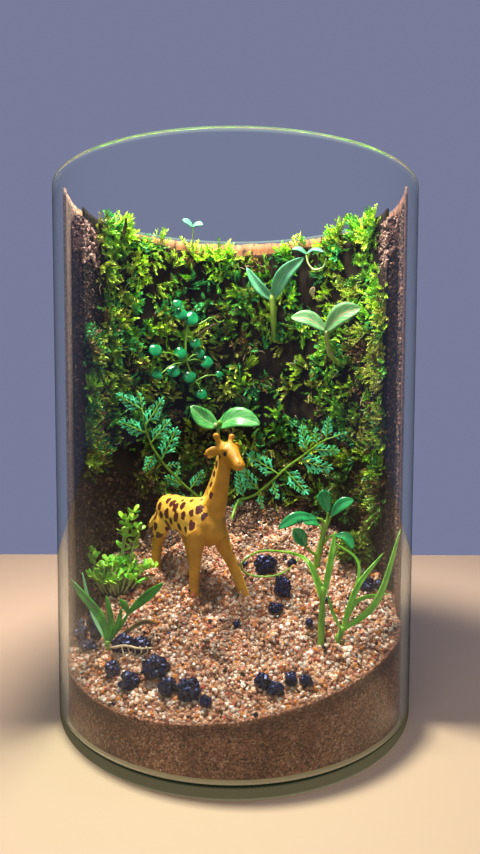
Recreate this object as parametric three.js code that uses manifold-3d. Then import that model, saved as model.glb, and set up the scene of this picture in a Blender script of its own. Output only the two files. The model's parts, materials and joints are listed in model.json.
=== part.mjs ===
// A planted glass terrarium: an open cylindrical jar whose back half is lined with a thin bark
// sheet, a wall of soil and moss mats, a bank of coarse sand with black lava stones, small plants
// on the wall and in the sand, and a little toy giraffe.
// Millimetres, +Z up. The origin is the middle of the jar's underside; the front faces -Y.

import * as THREE from "three";
import { mergeVertices } from "three/addons/utils/BufferGeometryUtils.js";
import Module from "manifold-3d";

const wasm = await Module();
wasm.setup();

// ---------------------------------------------------------------- driving dimensions

// glass jar
const JAR_RADIUS = 60;
const JAR_HEIGHT = 172;
const JAR_WALL = 2.6;
const JAR_FLOOR = 3.5;
const FOOT_ROUNDING = 2.2;
const INNER_ROUNDING = 1.2;
const JAR_SIDES = 48;
const BORE = JAR_RADIUS - JAR_WALL;

// clearance between pieces that touch
const GAP = 0.3;

// bark sheet that lines the back of the bore
const SHEET_OUTER = BORE - 0.5;
const SHEET_THICKNESS = 1;
const SHEET_INNER = SHEET_OUTER - SHEET_THICKNESS;
const SHEET_FROM = -20;
const SHEET_TO = 200;
const SHEET_TOP = 170.5;
const SHEET_BOTTOM = JAR_FLOOR + INNER_ROUNDING + GAP;

// soil between the sheet and the moss
const SOIL_OUTER = SHEET_INNER - 0.4;
const SOIL_FROM = -6;
const SOIL_TO = 186;
const SOIL_BACK_RADIUS = 49.5;
const SOIL_SIDE_EXTRA = 3.2;
const SOIL_TOP = 162.5;

// moss mats: a lattice of valleys and sprigs on a thin mat
const MAT_COLUMNS = [-4, 34, 72, 110, 148, 184];
const MAT_SPLIT_HEIGHT = 112;
const MAT_EDGE_INSET = 0.35;
const MAT_CELL = 3.9;
const MAT_CLEARANCE = 0.45;
const MAT_VALLEY = 1.6;
const SPRIG_LENGTH = 4.2;
const WALL_CLEAR_RADIUS = 43.6;

// sand bank: heights at the middle and how they change towards the edges
const SAND_MIDDLE = 43.5;
const SAND_RISE_RIGHT = 5;
const SAND_RISE_BACK = 22.3;
const SAND_TWIST = -3;
const SAND_HOLLOW_SIDES = -8.8;
const SAND_HOLLOW_BACK = -1.7;
const SAND_RING_STEP = 4.9;
const SAND_LUMP = 0.6;

// toy giraffe
const GIRAFFE_X = -17.3;
const GIRAFFE_Y = 0.5;
const GIRAFFE_GROUND = 38.5;
const GIRAFFE_HEADING = -52;

// leaves and stems
const BLADE_THICKNESS = 0.7;

// colours
const COLOURS = {
  glass: 0xdfeee8,
  bark: 0xb07038,
  soil: 0x4a3022,
  moss: 0x6f9a1e,
  mossDeep: 0x4f7a1c,
  sand: 0xcfa58a,
  lava: 0x23252e,
  toy: 0xd99a1c,
  twig: 0x6a4a30,
  paleStem: 0xb9cf8a,
  leafGreen: 0x5fae3c,
  pinkLeaf: 0x9fc487,
  coinLeaf: 0x2f9a5a,
  fern: 0x3fa57c,
  cress: 0x8fdb2a,
  strap: 0x2f7a2a,
  oval: 0x3a9058,
  grass: 0x78b840,
};

const part = new THREE.Group();

// ---------------------------------------------------------------- small helpers

const UP = new THREE.Vector3(0, 0, 1);
const TOWARD_VIEW = new THREE.Vector3(0, -1, 0);

function vec(x, y, z) {
  return new THREE.Vector3(x, y, z);
}

function radians(degrees) {
  return (degrees * Math.PI) / 180;
}

// repeatable random draws between 0 and 1
function seededRandom(seed) {
  let state = seed;
  return () => {
    state = (state + 0x6d2b79f5) | 0;
    let mixed = Math.imul(state ^ (state >>> 15), 1 | state);
    mixed = (mixed + Math.imul(mixed ^ (mixed >>> 7), 61 | mixed)) ^ mixed;
    return ((mixed ^ (mixed >>> 14)) >>> 0) / 4294967296;
  };
}

function polar(radius, degrees, z) {
  const angle = radians(degrees);
  return vec(radius * Math.cos(angle), radius * Math.sin(angle), z);
}

// the point at x and z on an upright cylinder round the jar's axis, on its back half
function onWall(x, z, radius) {
  return vec(x, Math.sqrt(Math.max(radius * radius - x * x, 0)), z);
}

// value at t of the straight lines through [t, value] pairs in rising order
function along(pairs, t) {
  if (t <= pairs[0][0]) return pairs[0][1];
  for (let i = 1; i < pairs.length; i += 1) {
    const [t0, v0] = pairs[i - 1];
    const [t1, v1] = pairs[i];
    if (t <= t1) return v0 + ((v1 - v0) * (t - t0)) / (t1 - t0);
  }
  return pairs[pairs.length - 1][1];
}

function curvePoints(points, count) {
  const curve = new THREE.CatmullRomCurve3(points);
  return curve.getPoints(count - 1);
}

function tangents(points) {
  return points.map((_, i) => {
    const before = points[Math.max(i - 1, 0)];
    const after = points[Math.min(i + 1, points.length - 1)];
    return after.clone().sub(before).normalize();
  });
}

function signedVolume(geometry) {
  const position = geometry.getAttribute("position");
  const index = geometry.getIndex();
  const a = vec(0, 0, 0);
  const b = vec(0, 0, 0);
  const c = vec(0, 0, 0);
  let volume = 0;
  for (let i = 0; i < index.count; i += 3) {
    a.fromBufferAttribute(position, index.getX(i));
    b.fromBufferAttribute(position, index.getX(i + 1));
    c.fromBufferAttribute(position, index.getX(i + 2));
    volume += a.dot(b.cross(c)) / 6;
  }
  return volume;
}

// an indexed geometry from points and triangles, with its faces turned outward
function shell(points, triangles) {
  const geometry = new THREE.BufferGeometry();
  geometry.setAttribute(
    "position",
    new THREE.Float32BufferAttribute(points.flatMap((p) => [p.x, p.y, p.z]), 3)
  );
  geometry.setIndex(triangles.flat());
  if (signedVolume(geometry) < 0) {
    geometry.setIndex(triangles.flatMap(([a, b, c]) => [a, c, b]));
  }
  return geometry;
}

// a closed skin over rings with equal point counts, capped at both ends
function loft(rings) {
  const sides = rings[0].length;
  const triangles = [];
  for (let r = 0; r + 1 < rings.length; r += 1) {
    for (let s = 0; s < sides; s += 1) {
      const a = r * sides + s;
      const b = r * sides + ((s + 1) % sides);
      triangles.push([a, b, b + sides], [a, b + sides, a + sides]);
    }
  }
  const last = (rings.length - 1) * sides;
  for (let s = 1; s + 1 < sides; s += 1) {
    triangles.push([0, s + 1, s], [last, last + s, last + s + 1]);
  }
  return shell(rings.flat(), triangles);
}

// a tube along points; each radius is a number or [across, along the up hint]
function tube(points, sizes, sides, upHint = UP) {
  const directions = tangents(points);
  const rings = points.map((point, i) => {
    const across = directions[i].clone().cross(upHint).normalize();
    const above = across.clone().cross(directions[i]).normalize();
    const size = Array.isArray(sizes[i]) ? sizes[i] : [sizes[i], sizes[i]];
    return Array.from({ length: sides }, (_, s) => {
      const turn = (2 * Math.PI * (s + 0.5)) / sides;
      return point
        .clone()
        .addScaledVector(across, size[0] * Math.cos(turn))
        .addScaledVector(above, size[1] * Math.sin(turn));
    });
  });
  return loft(rings);
}

// a thin blade along points, folded along its midrib; face is the side that is seen
function blade(points, halfWidths, face, fold = 0, thickness = BLADE_THICKNESS) {
  const directions = tangents(points);
  const rings = points.map((point, i) => {
    const side = directions[i].clone().cross(face).normalize();
    const top = side.clone().cross(directions[i]).normalize();
    const half = Math.max(halfWidths[i], 0.3);
    const rise = fold * half;
    const corner = (across, lift) =>
      point.clone().addScaledVector(side, across).addScaledVector(top, lift);
    const front = thickness / 2;
    if (fold === 0) {
      return [corner(-half, front), corner(half, front), corner(half, -front), corner(-half, -front)];
    }
    return [
      corner(-half, front + rise),
      corner(0, front),
      corner(half, front + rise),
      corner(half, -front + rise),
      corner(0, -front),
      corner(-half, -front + rise),
    ];
  });
  return loft(rings);
}

// half widths of a leaf that is widest at the given share of its length
function leafWidths(count, half, widest, tip = 0.12) {
  return Array.from({ length: count }, (_, i) => {
    const t = i / (count - 1);
    const rising = Math.sin((Math.PI / 2) * Math.min(t / widest, 1));
    const falling = Math.cos((Math.PI / 2) * Math.max((t - widest) / (1 - widest), 0));
    return half * Math.max(t < widest ? 0.25 + 0.75 * rising : falling, tip);
  });
}

// ---------------------------------------------------------------- joining and cutting

function toSolid(geometry) {
  const bare = geometry.clone();
  bare.deleteAttribute("normal");
  bare.deleteAttribute("uv");
  const merged = mergeVertices(bare, 1e-4);
  return new wasm.Manifold(
    new wasm.Mesh({
      numProp: 3,
      vertProperties: new Float32Array(merged.getAttribute("position").array),
      triVerts: new Uint32Array(merged.getIndex().array),
    })
  );
}

// the largest body of a solid, as a geometry
function toGeometry(solid) {
  const bodies = solid.decompose();
  const largest = bodies.reduce((best, body) => (body.volume() > best.volume() ? body : best));
  const mesh = largest.getMesh();
  const geometry = new THREE.BufferGeometry();
  geometry.setAttribute("position", new THREE.BufferAttribute(mesh.vertProperties, 3));
  geometry.setIndex(new THREE.BufferAttribute(mesh.triVerts, 1));
  return geometry;
}

function join(geometries) {
  return geometries.map(toSolid).reduce((whole, piece) => whole.add(piece));
}

function carve(geometry, tools) {
  return tools.map(toSolid).reduce((whole, tool) => whole.subtract(tool), toSolid(geometry));
}

function addPiece(name, geometry, colour, roughness = 0.7, metalness = 0) {
  const material = new THREE.MeshStandardMaterial({ color: colour, roughness, metalness });
  const mesh = new THREE.Mesh(geometry, material);
  mesh.name = name;
  part.add(mesh);
}

// the up hint that suits a stem: the front for one that rises, else the top
function footHint(points) {
  return Math.abs(tangents(points)[0].z) > 0.8 ? TOWARD_VIEW : UP;
}

// a plain hole for a round stem: six flat sides that clear the stem by the gap
function stemHole(points, radius) {
  const clear = (radius + GAP + 0.05) / Math.cos(Math.PI / 6);
  return tube(points, points.map(() => clear), 6, footHint(points));
}

// holes that the plants need in the sand and in the moss
const sandHoles = [];
const mossHoles = [];

// ---------------------------------------------------------------- glass jar

function jarProfile() {
  const lip = JAR_WALL / 2;
  const outer = JAR_RADIUS;
  const footSteps = [0, 45, 90].map((a) => {
    const turn = radians(a);
    const x = outer - FOOT_ROUNDING * (1 - Math.sin(turn));
    return new THREE.Vector2(x, FOOT_ROUNDING * (1 - Math.cos(turn)));
  });
  const lipSteps = [0, 45, 90, 135, 180].map((a) => {
    const turn = radians(a);
    return new THREE.Vector2(outer - lip + lip * Math.cos(turn), JAR_HEIGHT - lip + lip * Math.sin(turn));
  });
  const floorSteps = [0, 45, 90].map((a) => {
    const turn = radians(a);
    const x = BORE - INNER_ROUNDING * (1 - Math.cos(turn));
    return new THREE.Vector2(x, JAR_FLOOR + INNER_ROUNDING * (1 - Math.sin(turn)));
  });
  return [
    new THREE.Vector2(0, 0),
    ...footSteps,
    ...lipSteps,
    ...floorSteps,
    new THREE.Vector2(0, JAR_FLOOR),
  ];
}

addPiece("jar", new THREE.LatheGeometry(jarProfile(), JAR_SIDES).rotateX(Math.PI / 2), COLOURS.glass, 0.05);

// ---------------------------------------------------------------- bark sheet

function sheetGeometry() {
  const outline = new THREE.Shape();
  outline.absarc(0, 0, SHEET_OUTER, radians(SHEET_FROM), radians(SHEET_TO), false);
  outline.absarc(0, 0, SHEET_INNER, radians(SHEET_TO), radians(SHEET_FROM), true);
  outline.closePath();
  const options = { depth: SHEET_TOP - SHEET_BOTTOM, bevelEnabled: false, curveSegments: 18 };
  return new THREE.ExtrudeGeometry(outline, options).translate(0, 0, SHEET_BOTTOM);
}

addPiece("bark_sheet", sheetGeometry(), COLOURS.bark, 0.8);

// ---------------------------------------------------------------- soil layer

function soilRadius(azimuth) {
  return SOIL_BACK_RADIUS + SOIL_SIDE_EXTRA * Math.cos(radians(azimuth)) ** 2;
}

function soilTop(azimuth) {
  return SOIL_TOP + 2 * Math.cos(radians(azimuth)) ** 2;
}

function soilGeometry() {
  const random = seededRandom(11);
  const columns = 24;
  const rows = 6;
  const bottom = JAR_FLOOR + GAP;
  const rings = [];
  for (let c = 0; c <= columns; c += 1) {
    const share = c / columns;
    const azimuth = SOIL_FROM + (SOIL_TO - SOIL_FROM) * share;
    const top = soilTop(azimuth) + 2.4 * (random() - 0.5);
    const front = [];
    for (let r = 0; r <= rows; r += 1) {
      const z = bottom + ((top - bottom) * r) / rows;
      const recess = r === 0 ? 0 : 0.7 * random();
      front.push(polar(soilRadius(azimuth) + recess, azimuth, z));
    }
    rings.push([polar(SOIL_OUTER, azimuth, bottom), ...front, polar(SOIL_OUTER, azimuth, top)]);
  }
  return loft(rings);
}

addPiece("soil_layer", soilGeometry(), COLOURS.soil, 0.95);

// ---------------------------------------------------------------- sand bank

function sandHeight(x, y) {
  const across = x / JAR_RADIUS;
  const back = y / JAR_RADIUS;
  return (
    SAND_MIDDLE +
    SAND_RISE_RIGHT * across +
    SAND_RISE_BACK * back +
    SAND_TWIST * across * back +
    SAND_HOLLOW_SIDES * across * across +
    SAND_HOLLOW_BACK * back * back
  );
}

function onSand(x, y, lift = 0) {
  return vec(x, y, sandHeight(x, y) + lift);
}

// how far the sand reaches: to the glass in front, to the sheet and to the soil behind
function sandReach(azimuth) {
  if (azimuth > SOIL_FROM - 0.5 && azimuth < SOIL_TO + 0.5) return soilRadius(azimuth) - 0.45;
  if (azimuth > SHEET_FROM - 0.5 && azimuth < SHEET_TO + 0.5) return SHEET_INNER - 0.4;
  return BORE - 0.45;
}

// azimuths of the sand's outer edge, doubled where it steps round the soil and the sheet
function sandEdgeAzimuths() {
  const steps = [SHEET_FROM, SOIL_FROM, SOIL_TO, SHEET_TO];
  const doubled = steps.flatMap((a) => {
    const side = a < 90 ? -1 : 1;
    return [a + side * 0.49, a + side * 0.51];
  });
  const even = [];
  for (let a = -36; a < 324; a += 7.5) {
    if (doubled.every((d) => Math.abs(d - a) > 2)) even.push(a);
  }
  return [...even, ...doubled].sort((a, b) => a - b);
}

// triangles between two closed rings of points that both run once round the axis
function stitchRings(inner, outer, innerStart, outerStart) {
  const triangles = [];
  let i = 0;
  let o = 0;
  while (i < inner.length || o < outer.length) {
    const nextInner = inner[i % inner.length] + 360 * Math.floor(i / inner.length);
    const nextOuter = outer[o % outer.length] + 360 * Math.floor(o / outer.length);
    const a = innerStart + (i % inner.length);
    const b = outerStart + (o % outer.length);
    if (o >= outer.length || (i < inner.length && nextInner < nextOuter)) {
      triangles.push([a, b, innerStart + ((i + 1) % inner.length)]);
      i += 1;
    } else {
      triangles.push([a, b, outerStart + ((o + 1) % outer.length)]);
      o += 1;
    }
  }
  return triangles;
}

function sandGeometry() {
  const random = seededRandom(7);
  const edge = sandEdgeAzimuths();
  const ringCount = Math.round(BORE / SAND_RING_STEP);
  const points = [vec(0, 0, SAND_MIDDLE)];
  const triangles = [];
  let previous = null;
  let previousStart = 0;
  for (let ring = 1; ring <= ringCount; ring += 1) {
    const share = ring / ringCount;
    const isEdge = ring === ringCount;
    const count = Math.max(6, Math.round((2 * Math.PI * BORE * share) / SAND_RING_STEP));
    const turn = random() * 0.9;
    const azimuths = isEdge
      ? edge
      : Array.from({ length: count }, (_, i) => -36 + ((i + turn) * 360) / count);
    const start = points.length;
    azimuths.forEach((azimuth) => {
      const radius = sandReach(azimuth > 324 ? azimuth - 360 : azimuth) * share;
      const place = polar(radius, azimuth, 0);
      const lump = isEdge ? 0 : SAND_LUMP * (2 * random() - 1);
      points.push(onSand(place.x, place.y, lump));
    });
    if (previous === null) {
      azimuths.forEach((_, i) => triangles.push([0, start + i, start + ((i + 1) % count)]));
    } else {
      triangles.push(...stitchRings(previous, azimuths, previousStart, start));
    }
    previous = azimuths;
    previousStart = start;
  }
  const floorStart = points.length;
  const chamfer = INNER_ROUNDING + GAP;
  edge.forEach((azimuth) => {
    points.push(polar(sandReach(azimuth), azimuth, JAR_FLOOR + chamfer + GAP));
  });
  const baseStart = points.length;
  edge.forEach((azimuth) => {
    points.push(polar(sandReach(azimuth) - chamfer, azimuth, JAR_FLOOR + GAP));
  });
  const middle = points.length;
  points.push(vec(0, 0, JAR_FLOOR + GAP));
  edge.forEach((_, i) => {
    const next = (i + 1) % edge.length;
    triangles.push([previousStart + i, floorStart + i, floorStart + next]);
    triangles.push([previousStart + i, floorStart + next, previousStart + next]);
    triangles.push([floorStart + i, baseStart + i, baseStart + next]);
    triangles.push([floorStart + i, baseStart + next, floorStart + next]);
    triangles.push([baseStart + i, middle, baseStart + next]);
  });
  return shell(points, triangles);
}

// ---------------------------------------------------------------- lava stones

// each stone: place across and back, half sizes across, back and up
const STONES = [
  [-52.4, -11.2, 1.7, 1.7, 1.7],
  [-49.4, -5, 1.7, 1.7, 2.2],
  [-47, -11.9, 2.4, 2.4, 2.8],
  [-50.3, -16.2, 2.3, 2.3, 2.4],
  [-44.4, -18.1, 2.3, 2.5, 2.8],
  [-46.8, -21.6, 2.9, 1.6, 1.4],
  [-34.6, -26, 3.4, 3, 2.7],
  [-28.4, -28.3, 2.8, 2.6, 2.6],
  [-35.7, -34.4, 2.2, 2.1, 2.1],
  [-29.9, -40, 2.7, 2.6, 2.5],
  [-22.8, -38.4, 3.9, 3.6, 3.7],
  [-18.4, -45.2, 2.6, 2.4, 2.6],
  [-12.4, -47.6, 3, 2.7, 3],
  [-7.6, -51.3, 1.5, 1.5, 1.5],
  [8, -47.4, 2.2, 2.1, 2.1],
  [11.4, -50, 2.1, 1.6, 1.8],
  [15.6, -47.1, 1.8, 1.8, 1.8],
  [19.7, -47.6, 1.8, 1.8, 1.8],
  [0.8, -25.8, 1.3, 1.2, 1.2],
  [13, -20.2, 2.2, 1.8, 1.6],
  [15.9, -12.4, 2.9, 2.7, 4.1],
  [10.6, -0.2, 4, 3.2, 3.5],
  [20.5, 2, 1.7, 1.7, 1.7],
  [23.2, -26.3, 1.3, 1.3, 1.3],
  [45.6, -7.3, 2.3, 2.1, 2.3],
  [49.8, -6.4, 1.6, 1.5, 1.7],
];
const STONE_SHOWING = 0.4;

function stoneGeometry(halfSizes, random) {
  const rough = Math.max(...halfSizes) > 2.65;
  const sphere = new THREE.IcosahedronGeometry(1, rough ? 1 : 0);
  sphere.deleteAttribute("normal");
  sphere.deleteAttribute("uv");
  const geometry = mergeVertices(sphere, 1e-4);
  const position = geometry.getAttribute("position");
  for (let i = 0; i < position.count; i += 1) {
    const pit = 0.86 + 0.18 * random();
    position.setXYZ(
      i,
      position.getX(i) * halfSizes[0] * pit,
      position.getY(i) * halfSizes[1] * pit,
      position.getZ(i) * halfSizes[2] * pit
    );
  }
  return geometry;
}

// a roomy twenty-sided pocket round a stone of these half sizes
function stonePocket(halfSizes) {
  const faceDistance = 0.795;
  const pocket = new THREE.IcosahedronGeometry(1 / faceDistance, 0);
  return pocket.scale(...halfSizes.map((half) => half * 1.04 + GAP));
}

STONES.forEach(([x, y, across, back, up], number) => {
  const random = seededRandom(100 + number);
  const centre = onSand(x, y, STONE_SHOWING * up);
  const stone = stoneGeometry([across, back, up], random);
  sandHoles.push(stonePocket([across, back, up]).translate(centre.x, centre.y, centre.z));
  const name = `lava_stone_${String(number + 1).padStart(2, "0")}`;
  addPiece(name, stone.translate(centre.x, centre.y, centre.z), COLOURS.lava, 0.75);
});

// ---------------------------------------------------------------- toy giraffe

// a point of the toy from its own forward, left and upward sizes
function toyPoint(forward, left, up) {
  const turned = vec(forward, left, 0).applyAxisAngle(UP, radians(GIRAFFE_HEADING));
  return turned.add(vec(GIRAFFE_X, GIRAFFE_Y, GIRAFFE_GROUND + up));
}

function toyTube(stations, sizes, sides, hint) {
  return tube(stations.map((p) => toyPoint(...p)), sizes, sides, hint);
}

const GIRAFFE_FORWARD = toyPoint(1, 0, 0).sub(toyPoint(0, 0, 0));

// feet: forward, left, and how deep the sand lets them stand
const GIRAFFE_LEGS = [
  { hip: [10, -3.6, 20], knee: [10.2, -4.6, 9], foot: [10, -5, -2.4] },
  { hip: [10.5, 3.4, 20], knee: [15.5, 6.2, 9], foot: [20.5, 8.6, -1.8] },
  { hip: [-10, -3.4, 21], knee: [-12, -4, 10], foot: [-11, -4.2, -0.6] },
  { hip: [-9, 3.2, 21], knee: [-8, 4.6, 10], foot: [-7, 5.6, 0.6] },
];

function giraffeGeometry() {
  const trunk = toyTube(
    [
      [-15.6, 0, 25],
      [-13.6, 0, 25],
      [-9, 0, 24.4],
      [-2, 0, 24.2],
      [6, 0, 24],
      [11.5, 0, 24.2],
      [14.6, 0, 25.5],
    ],
    [[1.6, 2.4], [4.4, 5], [5.6, 6], [5.4, 6.4], [5.8, 7.8], [5.2, 7.6], [2.6, 4]],
    10
  );
  const neck = toyTube(
    [[9.5, 0, 25], [12.4, 0.6, 31], [15.4, 1.3, 37], [17.4, 2.5, 43], [18.6, 3, 47]],
    [[4.4, 5.2], [3.6, 4], [3, 3], [2.4, 2.5], [2.2, 2.2]],
    8,
    GIRAFFE_FORWARD
  );
  const head = toyTube(
    [[16.4, 2.2, 48.6], [18.4, 2.9, 48.6], [21, 3.8, 47.4], [23.4, 4.6, 46], [25.6, 5.3, 44.8]],
    [[1.6, 1.6], [3, 3], [2.8, 2.7], [2.2, 2.1], [1.7, 1.5]],
    8
  );
  const legs = GIRAFFE_LEGS.map(({ hip, knee, foot }) =>
    toyTube([hip, knee, foot], [[2.6, 3.4], [1.8, 2], [1.7, 1.8]], 6, GIRAFFE_FORWARD)
  );
  const horns = [-1.4, 1.6].map((left) =>
    toyTube(
      [[17.6, 2.9 + left * 0.7, 49.6], [16.6, 2.9 + left * 1.5, 53.2], [16.2, 2.9 + left * 1.8, 54.8]],
      [1, 0.7, 0.9],
      5,
      GIRAFFE_FORWARD
    )
  );
  const ears = [-1, 1].map((left) =>
    toyTube(
      [[17.2, 2.9 + left * 2.2, 49.4], [16.4, 2.9 + left * 4.4, 49.8], [15.8, 2.9 + left * 6, 49.6]],
      [[0.7, 0.9], [0.8, 1.3], [0.4, 0.5]],
      5
    )
  );
  const tail = toyTube(
    [[-14, 0.4, 27], [-16.6, -0.2, 24], [-18.4, -1.2, 20.4], [-18.8, -1.6, 19]],
    [1, 0.9, 1.1, 0.5],
    5,
    GIRAFFE_FORWARD
  );
  return toGeometry(join([trunk, neck, head, ...legs, ...horns, ...ears, tail]));
}

GIRAFFE_LEGS.forEach(({ knee, foot }) => {
  const top = toyPoint(...knee);
  const sole = toyPoint(...foot);
  const down = sole.clone().sub(top).normalize();
  sandHoles.push(stemHole([top, sole.addScaledVector(down, GAP + 0.1)], 2.1));
});
addPiece("toy_giraffe", giraffeGeometry(), COLOURS.toy, 0.45);

// ---------------------------------------------------------------- moss mats

// lowest edge of the moss: bare soil shows below it on the left
const MOSS_FOOT = [[-4, 57], [40, 56], [75, 62.5], [105, 62.5], [130, 66], [155, 76], [184, 80]];

function mossTop(azimuth) {
  return 163.5 + 5.2 * Math.cos(radians(azimuth)) ** 2;
}

// the wavy height at which the upper mats meet the lower ones
function mossSplit(azimuth) {
  return MAT_SPLIT_HEIGHT + 5 * Math.sin(radians(azimuth * 3)) + 2.5 * Math.sin(radians(azimuth * 7));
}

// the wavy azimuth at which two neighbouring mats meet
function mossSeam(column, z) {
  const outermost = column === 0 || column === MAT_COLUMNS.length - 1;
  const wave = 2.6 * Math.sin(0.12 * z + 2 * column) + 0.5 * Math.sin(0.27 * z + column);
  return MAT_COLUMNS[column] + (outermost ? 0.35 : 1) * wave;
}

// a mat between two seams and two edge heights: the front is a lattice whose every second
// point is drawn out into a curled sprig, and the back an even lattice on the same edge
function matGeometry(column, lowEdge, highEdge, seed) {
  const random = seededRandom(seed);
  const backRadius = (azimuth) => soilRadius(azimuth) - MAT_CLEARANCE;
  const middle = (MAT_COLUMNS[column] + MAT_COLUMNS[column + 1]) / 2;
  const inset = (MAT_EDGE_INSET / backRadius(middle)) * (180 / Math.PI);
  const arc = radians(MAT_COLUMNS[column + 1] - MAT_COLUMNS[column]) * backRadius(middle);
  const columns = Math.round(arc / MAT_CELL);
  const rows = Math.round((highEdge(middle) - lowEdge(middle)) / MAT_CELL);
  // seams and edges depend on each other, so the place is found in three passes
  const placeOnMat = (shareAcross, shareUp) => {
    let azimuth = MAT_COLUMNS[column] * (1 - shareAcross) + MAT_COLUMNS[column + 1] * shareAcross;
    let z = 0;
    for (let pass = 0; pass < 3; pass += 1) {
      const low = lowEdge(azimuth) + MAT_EDGE_INSET;
      const high = highEdge(azimuth) - MAT_EDGE_INSET;
      z = low + (high - low) * shareUp;
      const left = mossSeam(column, z) + inset;
      const right = mossSeam(column + 1, z) - inset;
      azimuth = left + (right - left) * shareAcross;
    }
    return { azimuth, z };
  };
  const points = [];
  const front = [];
  const back = [];
  for (let c = 0; c <= columns; c += 1) {
    front.push([]);
    back.push([]);
    for (let r = 0; r <= rows; r += 1) {
      const onSide = c === 0 || c === columns;
      const onEnd = r === 0 || r === rows;
      const onEdge = onSide || onEnd;
      const isSprig = !onEdge && (c + r) % 2 === 0;
      const shareAcross = (c + (onSide ? 0 : 0.5 * (random() - 0.5))) / columns;
      const shareUp = (r + (onEnd ? 0 : 0.5 * (random() - 0.5))) / rows;
      const { azimuth, z } = placeOnMat(shareAcross, shareUp);
      const sprig = isSprig ? SPRIG_LENGTH * (0.45 + 0.75 * random()) : 0;
      const thick = onEdge ? 0 : MAT_VALLEY * (0.6 + 0.8 * random()) + sprig;
      const radius = Math.max(backRadius(azimuth) - thick, WALL_CLEAR_RADIUS);
      const curl = isSprig ? 1.4 * random() : 0;
      front[c].push(points.length);
      points.push(polar(radius, azimuth, z + curl));
      if (onEdge) {
        back[c].push(front[c][r]);
      } else {
        const even = placeOnMat(c / columns, r / rows);
        back[c].push(points.length);
        points.push(polar(backRadius(even.azimuth), even.azimuth, even.z));
      }
    }
  }
  const triangles = [];
  const layFace = (lattice, c, r, fallsRight, turned) => {
    const [a, b] = [lattice[c][r], lattice[c + 1][r]];
    const [d, e] = [lattice[c][r + 1], lattice[c + 1][r + 1]];
    const pair = fallsRight ? [[a, b, d], [b, e, d]] : [[a, b, e], [a, e, d]];
    triangles.push(...pair.map(([i, j, k]) => (turned ? [i, k, j] : [i, j, k])));
  };
  for (let c = 0; c < columns; c += 1) {
    for (let r = 0; r < rows; r += 1) {
      // a corner cell is split from the mat's corner inward, so that no face lies on the edge
      const [atLeft, atRight] = [c === 0, c === columns - 1];
      const [atFoot, atTop] = [r === 0, r === rows - 1];
      const risesFromCorner = (atLeft && atFoot) || (atRight && atTop);
      const fallsToCorner = (atLeft && atTop) || (atRight && atFoot);
      const fallsRight = fallsToCorner || (!risesFromCorner && (c + r) % 2 === 0);
      layFace(front, c, r, fallsRight, false);
      layFace(back, c, r, fallsToCorner || !risesFromCorner, true);
    }
  }
  return shell(points, triangles);
}

function mossMats() {
  const mats = [];
  for (let c = 0; c + 1 < MAT_COLUMNS.length; c += 1) {
    const foot = (azimuth) => along(MOSS_FOOT, azimuth);
    mats.push({ name: `moss_mat_low_${c + 1}`, mesh: matGeometry(c, foot, mossSplit, 40 + c) });
    mats.push({ name: `moss_mat_high_${c + 1}`, mesh: matGeometry(c, mossSplit, mossTop, 60 + c) });
  }
  return mats;
}

// ---------------------------------------------------------------- wall seedlings

// a stem that leaves the moss: its hole in the mat follows the same points
function rootedStem(points, radius, sides = 5) {
  mossHoles.push(stemHole(points.slice(0, 2), radius));
  return tube(points, points.map(() => radius), sides, footHint(points));
}

// a pointed or rounded seed leaf from its joint to its tip, bulging toward the front
function seedLeaf(joint, tip, half, widest, lift, face = TOWARD_VIEW, count = 6) {
  const middle = joint.clone().lerp(tip, 0.5).add(lift);
  const points = curvePoints([joint, middle, tip], count);
  return blade(points, leafWidths(count, half, widest), face, 0.3);
}

function tinySeedling() {
  const joint = vec(-17.5, 37, 172.6);
  const stem = rootedStem([vec(-18.2, 45.2, 163), vec(-17.8, 41, 165.6), joint], 0.4);
  const left = seedLeaf(joint, vec(-21.4, 36, 175.4), 1.1, 0.6, vec(0, 0, 0.3), vec(0.2, -1, 0.6), 4);
  const right = seedLeaf(joint, vec(-13.4, 36.4, 173.4), 1.1, 0.6, vec(0, 0, 0.6), vec(0, -1, 0.8), 4);
  return toGeometry(join([stem, left, right]));
}

function pointedSeedling() {
  const joint = vec(15, 39.4, 146);
  const stemPoints = [vec(16.4, 46, 127), vec(15.9, 41.8, 131), vec(15.4, 39.8, 138), joint];
  mossHoles.push(stemHole(stemPoints.slice(0, 3), 1.3));
  const stem = tube(stemPoints, [1, 1.1, 1.5, 1.9], 6, TOWARD_VIEW);
  const left = seedLeaf(joint, vec(4.6, 39, 156.6), 2, 0.4, vec(-0.6, -0.6, -0.6));
  const right = seedLeaf(joint, vec(26.8, 33.6, 159.4), 2.9, 0.45, vec(-1.6, -0.4, 1.2));
  return toGeometry(join([stem, left, right]));
}

function loopedSeedling() {
  const joint = vec(28, 33.2, 161.2);
  const loop = [
    vec(36.5, 33.8, 157.4),
    vec(33.4, 29.6, 157.6),
    vec(32.4, 29.2, 155),
    vec(29.6, 31.6, 156.4),
    joint,
  ];
  const stem = rootedStem(loop, 0.4);
  const left = seedLeaf(joint, vec(22.8, 34.6, 163.4), 1.2, 0.6, vec(0, 0, 0.8), vec(0, -1, 1), 4);
  const right = seedLeaf(joint, vec(34, 28.4, 160.6), 1.3, 0.6, vec(0, 0, 1.2), vec(0.2, -1, 1), 4);
  return toGeometry(join([stem, left, right]));
}

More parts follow.
